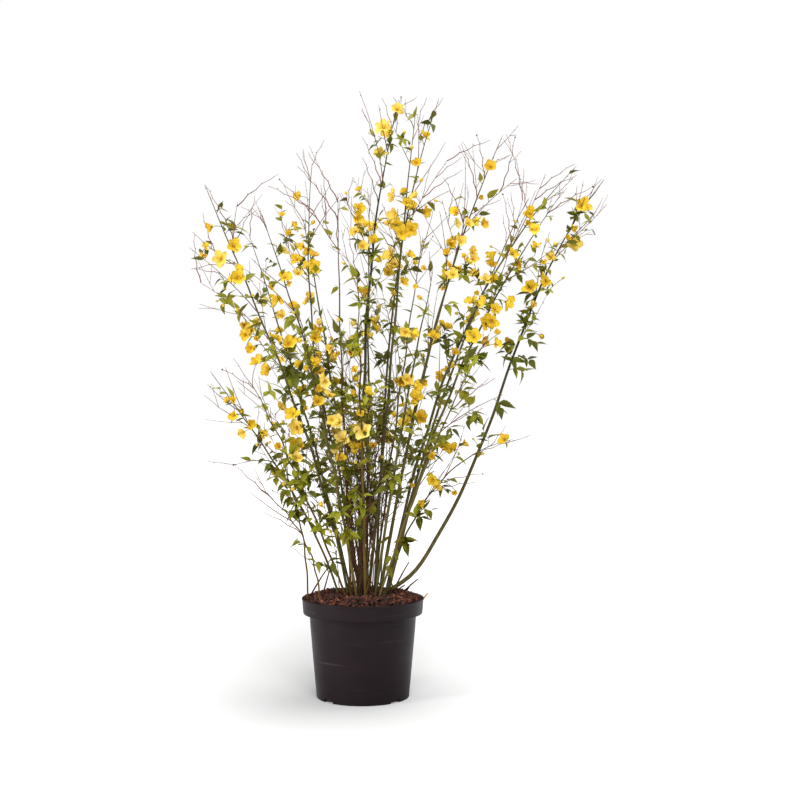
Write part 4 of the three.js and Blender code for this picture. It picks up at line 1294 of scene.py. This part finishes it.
def seed_shape():
    """A small dried seed head: a dark knob in the spread points of its cup."""
    bm = bmesh.new()
    bmesh.ops.create_icosphere(bm, subdivisions=1, radius=0.42)
    for v in bm.verts:
        v.co.z += 0.4
    for k in range(5):
        add_spike(bm, 0.1, 0.0, 0.7, 0.45, 52, 72 * k)
    return shape_of(bm)


def make_twigs():
    green, brown = settings().cane_colour, settings().twig_colour
    colours = tinted(green, ((1.15, 1.0), (0.8, 1.2))) + [tuple(brown), tuple(c * 0.5 for c in brown)]
    colours += tinted(green, ((0.75, 1.0), (1.0, 1.25), (3.2, 1.35)))
    finishes = shades("twig", colours, shade=0.6, scale=200, stretch=(1, 1, 0.3), amount=0.7, relief=0.3,
                      Roughness=0.7, Specular_IOR_Level=0.1)
    mesh = tubes("twigs", shrub().stems, 0, finishes)
    smooth_by_angle(mesh, 80)
    add_piece("twigs", mesh, finishes, SPRAY_NODES)
    nubs, seeds = shrub().nubs, shrub().seeds
    standing("winter_buds", nub_shape(), nubs, np.zeros(len(nubs)),
             [finish_of("winter_bud_1", [c * 0.8 for c in brown], Roughness=0.7, Specular_IOR_Level=0.12)])
    standing("seed_heads", seed_shape(), seeds, np.arange(len(seeds)) * 40.0,
             [finish_of("seed_head_1", (0.02, 0.011, 0.009), relief=0.4, Roughness=0.8)])


def leaf_shape(droop, fold, curl):
    """A toothed oval leaf one unit long, drawn out to a point and folded up along its rib."""
    bm = bmesh.new()
    bmesh.ops.create_grid(bm, x_segments=2, y_segments=12, size=0.5)
    for v in bm.verts:
        t, side = v.co.y + 0.5, round(v.co.x * 2)
        tooth = round(t * 12) % 2
        width = 0.25 * (1.0 if tooth else 0.84) * np.interp(t, *LEAF_OUTLINE)
        v.co.x = side * width
        v.co.y = t + (0.012 if tooth and side else 0)
        v.co.z = abs(side) * width * fold - droop * t * t + curl * side * math.sin(3.2 * t) * 0.06
    return shape_of(bm)


def make_leaves():
    groups = [[leaf for leaf in shrub().leaves if leaf[5] == kind] for kind in range(3)]
    finishes = shades("leaf", tinted(settings().leaf_colour, LEAF_TINTS), shade=0.72, scale=260, relief=0.35,
                      Roughness=0.6, Specular_IOR_Level=0.12)
    shapes = [leaf_shape(0.16, 0.35, 1), leaf_shape(0.34, 0.5, -1), leaf_shape(0.06, 0.25, 0.4)]
    lying("leaves", shapes, groups, settings().leaf_size, finishes)


def petal_shape(cup, ruffle):
    """A broad rounded petal one unit long, narrow at its claw and slightly notched."""
    bm = bmesh.new()
    bmesh.ops.create_grid(bm, x_segments=6, y_segments=7, size=0.5)
    for v in bm.verts:
        t, side = v.co.y + 0.5, v.co.x * 2
        v.co.x = side * np.interp(t, *PETAL_OUTLINE)
        v.co.y = t * (1 - 0.14 * side * side) - (0.045 if t > 0.95 and side == 0 else 0)
        v.co.z = cup * t * t + 0.1 * side * side * (0.4 + t) + ruffle * math.sin(5 * side + 7 * t) * t
    # Faces near the claw take the claw colours, a painted shade.
    for face in bm.faces:
        face.material_index = 6 if face.calc_center_median().y < 0.36 else 0
    return shape_of(bm)


def heart_shape():
    """The tuft of yellow stamens in the middle of a flower, on its green cup."""
    bm = bmesh.new()
    bmesh.ops.create_cone(bm, cap_ends=True, segments=5, radius1=0.05, radius2=0.17, depth=0.16)
    for v in bm.verts:
        v.co.z -= 0.12
    for face in bm.faces:
        face.material_index = 1
    for k in range(STAMENS):
        add_spike(bm, 0.016, 0.045, 0.3, 0.14, 8 + 17 * (k % 4), k * GOLDEN_ANGLE)
    return shape_of(bm)


def bud_shape():
    """A plump furled bud one unit long in a green cup."""
    bm = bmesh.new()
    bmesh.ops.create_uvsphere(bm, u_segments=6, v_segments=6, radius=0.5)
    for v in bm.verts:
        t = v.co.z + 0.5
        twist = Matrix.Rotation(t * 1.1, 3, "Z")
        v.co = twist @ Vector((v.co.x * (0.86 - 0.25 * t), v.co.y * (0.86 - 0.25 * t), 0))
        v.co.z = t
    for face in bm.faces:
        face.material_index = 1 if face.calc_center_median().z < 0.24 else 0
    return shape_of(bm)


def make_blossom():
    """Petals with a deeper yellow painted at their claws as shade in the flower's hollow, and the hearts and
    buds that share their yellow.
    """
    size, yellow = settings().flower_size, settings().petal_colour
    red, green, blue = yellow
    gold, orange, deep, amber = tinted(yellow, ((1.0, 1.0), (0.85, 1.06), (1.0, 1.0), (0.72, 1.12)))
    light = (min(1, red * 1.06), green * 1.1, blue * 3)
    pale = (min(1, red * 1.1), green * 1.24, blue * 5)
    colours = [gold, light, orange, deep, pale, amber]
    # The claw colours: each petal colour made deeper, as painted shade where the petals meet in the flower's
    # hollow.
    colours += [(red * 0.97, green * 0.85, blue * 0.45) for red, green, blue in colours]
    finishes = shades("petal", colours, shade=0.85, scale=240, amount=0.5, relief=0.25, Roughness=0.65,
                      Specular_IOR_Level=0.15)
    lying("petals", [petal_shape(0.1, 0.03), petal_shape(0.3, 0.05), petal_shape(-0.08, 0.045)],
          [shrub().petals[kind::3] for kind in range(3)], size, finishes)
    leafy, stamen = tinted(settings().leaf_colour, ((1.1, 1.05),))[0], tinted(yellow, ((0.8, 1.05),))[0]
    hearts = [finish_of("stamen", stamen, relief=0.1, Roughness=0.6),
              finish_of("flower_cup", leafy, Roughness=0.5)]
    buds = [finish_of("bud_petal", orange, Roughness=0.55), finish_of("bud_cup", leafy, Roughness=0.5)]
    for name, shape, rows, finishes in (("flower_hearts", heart_shape(), shrub().hearts, hearts),
                                        ("flower_buds", bud_shape(), shrub().buds, buds)):
        standing(name, shape, rows, [row[3] * 18.0 for row in rows], finishes, size)


def add_light(name, place, target, size, power):
    data = bpy.data.lights.new(name, "AREA")
    data.shape = "RECTANGLE"
    data.size, data.size_y = size
    data.energy = power
    light = in_scene(name, data)
    light.location = place
    light.rotation_euler = (Vector(target) - Vector(place)).to_track_quat("-Z", "Y").to_euler()


def pale_floor():
    """A white floor with a painted glow: the glow keeps it white far off and is weak near the pot, where it
    paints a soft shadow.
    """
    material = finish_of("pale_floor", (0.56, 0.56, 0.56), shade=0.99, scale=3, relief=0.0, Roughness=0.9,
                         Specular_IOR_Level=0.0, Emission_Color=(1, 1, 1, 1))
    tree = material.node_tree
    place = node(tree, "TexCoord").outputs["Object"]
    # Distance from a point just behind the pot, stretched back: the floor's painted glow is weakest there, as
    # a painted shadow.
    painted_shade_pool = node(tree, "Mapping", {"Vector": place, "Location": (-0.05, 0.27, 0), "Scale": (1, 2.4, 1)},
                vector_type="TEXTURE")
    length = node(tree, "VectorMath", {0: painted_shade_pool}, operation="LENGTH").outputs["Value"]
    painted_glow = spread(tree, length, *PAINTED_SHADE_REACH, *PAINTED_FLOOR_GLOW)
    feed(tree.nodes["Principled BSDF"], {"Emission Strength": painted_glow})
    return material


def make_stage():
    scene = bpy.context.scene
    scene.view_settings.view_transform = "Standard"
    scene.world = bpy.data.worlds.new("studio")
    scene.world.use_nodes = True
    tree = scene.world.node_tree
    seen = node(tree, "LightPath").outputs["Is Camera Ray"]
    strength = spread(tree, seen, 0.0, 1.0, WALL_LIGHT, 1.0)
    feed(tree.nodes["Background"], {"Color": (1, 1, 1, 1), "Strength": strength})
    bm = bmesh.new()
    bmesh.ops.create_circle(bm, cap_ends=True, radius=FLOOR_EDGE, segments=96)
    mesh = bpy.data.meshes.new("floor")
    bm.to_mesh(mesh)
    bm.free()
    mesh.materials.append(pale_floor())
    in_scene("floor", mesh)
    for light in LIGHTS:
        add_light(*light)
    data = bpy.data.cameras.new("camera")
    data.sensor_width = SENSOR
    data.lens = settings().lens
    scene.camera = in_scene("camera", data)
    scene.camera.location = (CAMERA_ASIDE * MM, -CAMERA_BACK * MM, CAMERA_HEIGHT * MM)
    scene.camera.rotation_euler = (math.radians(90), 0, 0)


class KerriaSettings(bpy.types.PropertyGroup):
    """Sizes and colours of the plant, its pot and its picture."""

    leaf_size: bpy.props.FloatProperty(
        name="Leaf size", description="Size of the leaves against their natural size", default=1.0,
        min=0.3, max=2.0, subtype="FACTOR")
    flower_size: bpy.props.FloatProperty(
        name="Flower size", description="Size of the flowers and buds against their natural size",
        default=1.0, min=0.3, max=2.0, subtype="FACTOR")
    leaf_colour: bpy.props.FloatVectorProperty(
        name="Leaf green", description="Base colour of the leaves", default=(0.183, 0.187, 0.011),
        size=3, min=0, max=1, subtype="COLOR")
    petal_colour: bpy.props.FloatVectorProperty(
        name="Petal yellow", description="Base colour of the petals", default=(0.73, 0.51, 0.034),
        size=3, min=0, max=1, subtype="COLOR")
    cane_colour: bpy.props.FloatVectorProperty(
        name="Cane green", description="Base colour of the canes' bark", default=(0.132, 0.109, 0.034),
        size=3, min=0, max=1, subtype="COLOR")
    twig_colour: bpy.props.FloatVectorProperty(
        name="Twig brown", description="Base colour of the fine twigs", default=(0.16, 0.056, 0.036),
        size=3, min=0, max=1, subtype="COLOR")
    mulch_colour: bpy.props.FloatVectorProperty(
        name="Mulch brown", description="Base colour of the bark mulch", default=(0.1, 0.0265, 0.0125),
        size=3, min=0, max=1, subtype="COLOR")
    pot_colour: bpy.props.FloatVectorProperty(
        name="Pot colour", description="Colour of the moulded plastic", default=(0.0145, 0.0088, 0.0108),
        size=3, min=0, max=1, subtype="COLOR")
    lens: bpy.props.FloatProperty(
        name="Lens", description="Focal length of the camera", default=59.15, min=20, max=200, unit="CAMERA")


class KERRIA_OT_pot(bpy.types.Operator):
    """Turn the black nursery pot, with its collar, rounded rim and drain notches"""

    bl_idname = "kerria.pot"
    bl_label = "Pot"

    def execute(self, context):
        make_pot()
        return {"FINISHED"}


class KERRIA_OT_soil(bpy.types.Operator):
    """Fill the pot with its root ball and cover it with bark mulch"""

    bl_idname = "kerria.soil"
    bl_label = "Root ball and mulch"

    def execute(self, context):
        make_soil()
        return {"FINISHED"}


class KERRIA_OT_canes(bpy.types.Operator):
    """Grow the canes from the soil to their tips"""

    bl_idname = "kerria.canes"
    bl_label = "Canes"

    def execute(self, context):
        make_canes()
        return {"FINISHED"}


class KERRIA_OT_twigs(bpy.types.Operator):
    """Grow the side branches, fine twigs, winter buds and dried seed heads"""

    bl_idname = "kerria.twigs"
    bl_label = "Twigs"

    def execute(self, context):
        make_twigs()
        return {"FINISHED"}


class KERRIA_OT_leaves(bpy.types.Operator):
    """Grow the toothed leaves in their tufts"""

    bl_idname = "kerria.leaves"
    bl_label = "Leaves"

    def execute(self, context):
        make_leaves()
        return {"FINISHED"}


class KERRIA_OT_blossom(bpy.types.Operator):
    """Grow the yellow flowers, their hearts and the buds"""

    bl_idname = "kerria.blossom"
    bl_label = "Blossom"

    def execute(self, context):
        make_blossom()
        return {"FINISHED"}


class KERRIA_OT_stage(bpy.types.Operator):
    """Set the pale floor, the soft studio light and the camera"""

    bl_idname = "kerria.stage"
    bl_label = "Stage"

    def execute(self, context):
        make_stage()
        return {"FINISHED"}


OPERATORS = (KERRIA_OT_pot, KERRIA_OT_soil, KERRIA_OT_canes, KERRIA_OT_twigs, KERRIA_OT_leaves,
             KERRIA_OT_blossom, KERRIA_OT_stage)


class KERRIA_PT_panel(bpy.types.Panel):
    """The kerria's sizes, colours and pieces"""

    bl_idname = "KERRIA_PT_panel"
    bl_label = "Potted Kerria"
    bl_space_type = "VIEW_3D"
    bl_region_type = "UI"
    bl_category = "Kerria"

    def draw(self, context):
        for name in KerriaSettings.__annotations__:
            self.layout.prop(context.scene.kerria, name)
        for operator in OPERATORS:
            self.layout.operator(operator.bl_idname)


CLASSES = (KerriaSettings, *OPERATORS, KERRIA_PT_panel)


def register():
    for kind in CLASSES:
        bpy.utils.register_class(kind)
    bpy.types.Scene.kerria = bpy.props.PointerProperty(type=KerriaSettings)


def unregister():
    del bpy.types.Scene.kerria
    for kind in reversed(CLASSES):
        bpy.utils.unregister_class(kind)


def main():
    register()
    bpy.ops.kerria.pot()
    bpy.ops.kerria.soil()
    bpy.ops.kerria.canes()
    bpy.ops.kerria.twigs()
    bpy.ops.kerria.leaves()
    bpy.ops.kerria.blossom()
    bpy.ops.kerria.stage()


if __name__ == "__main__":
    main()
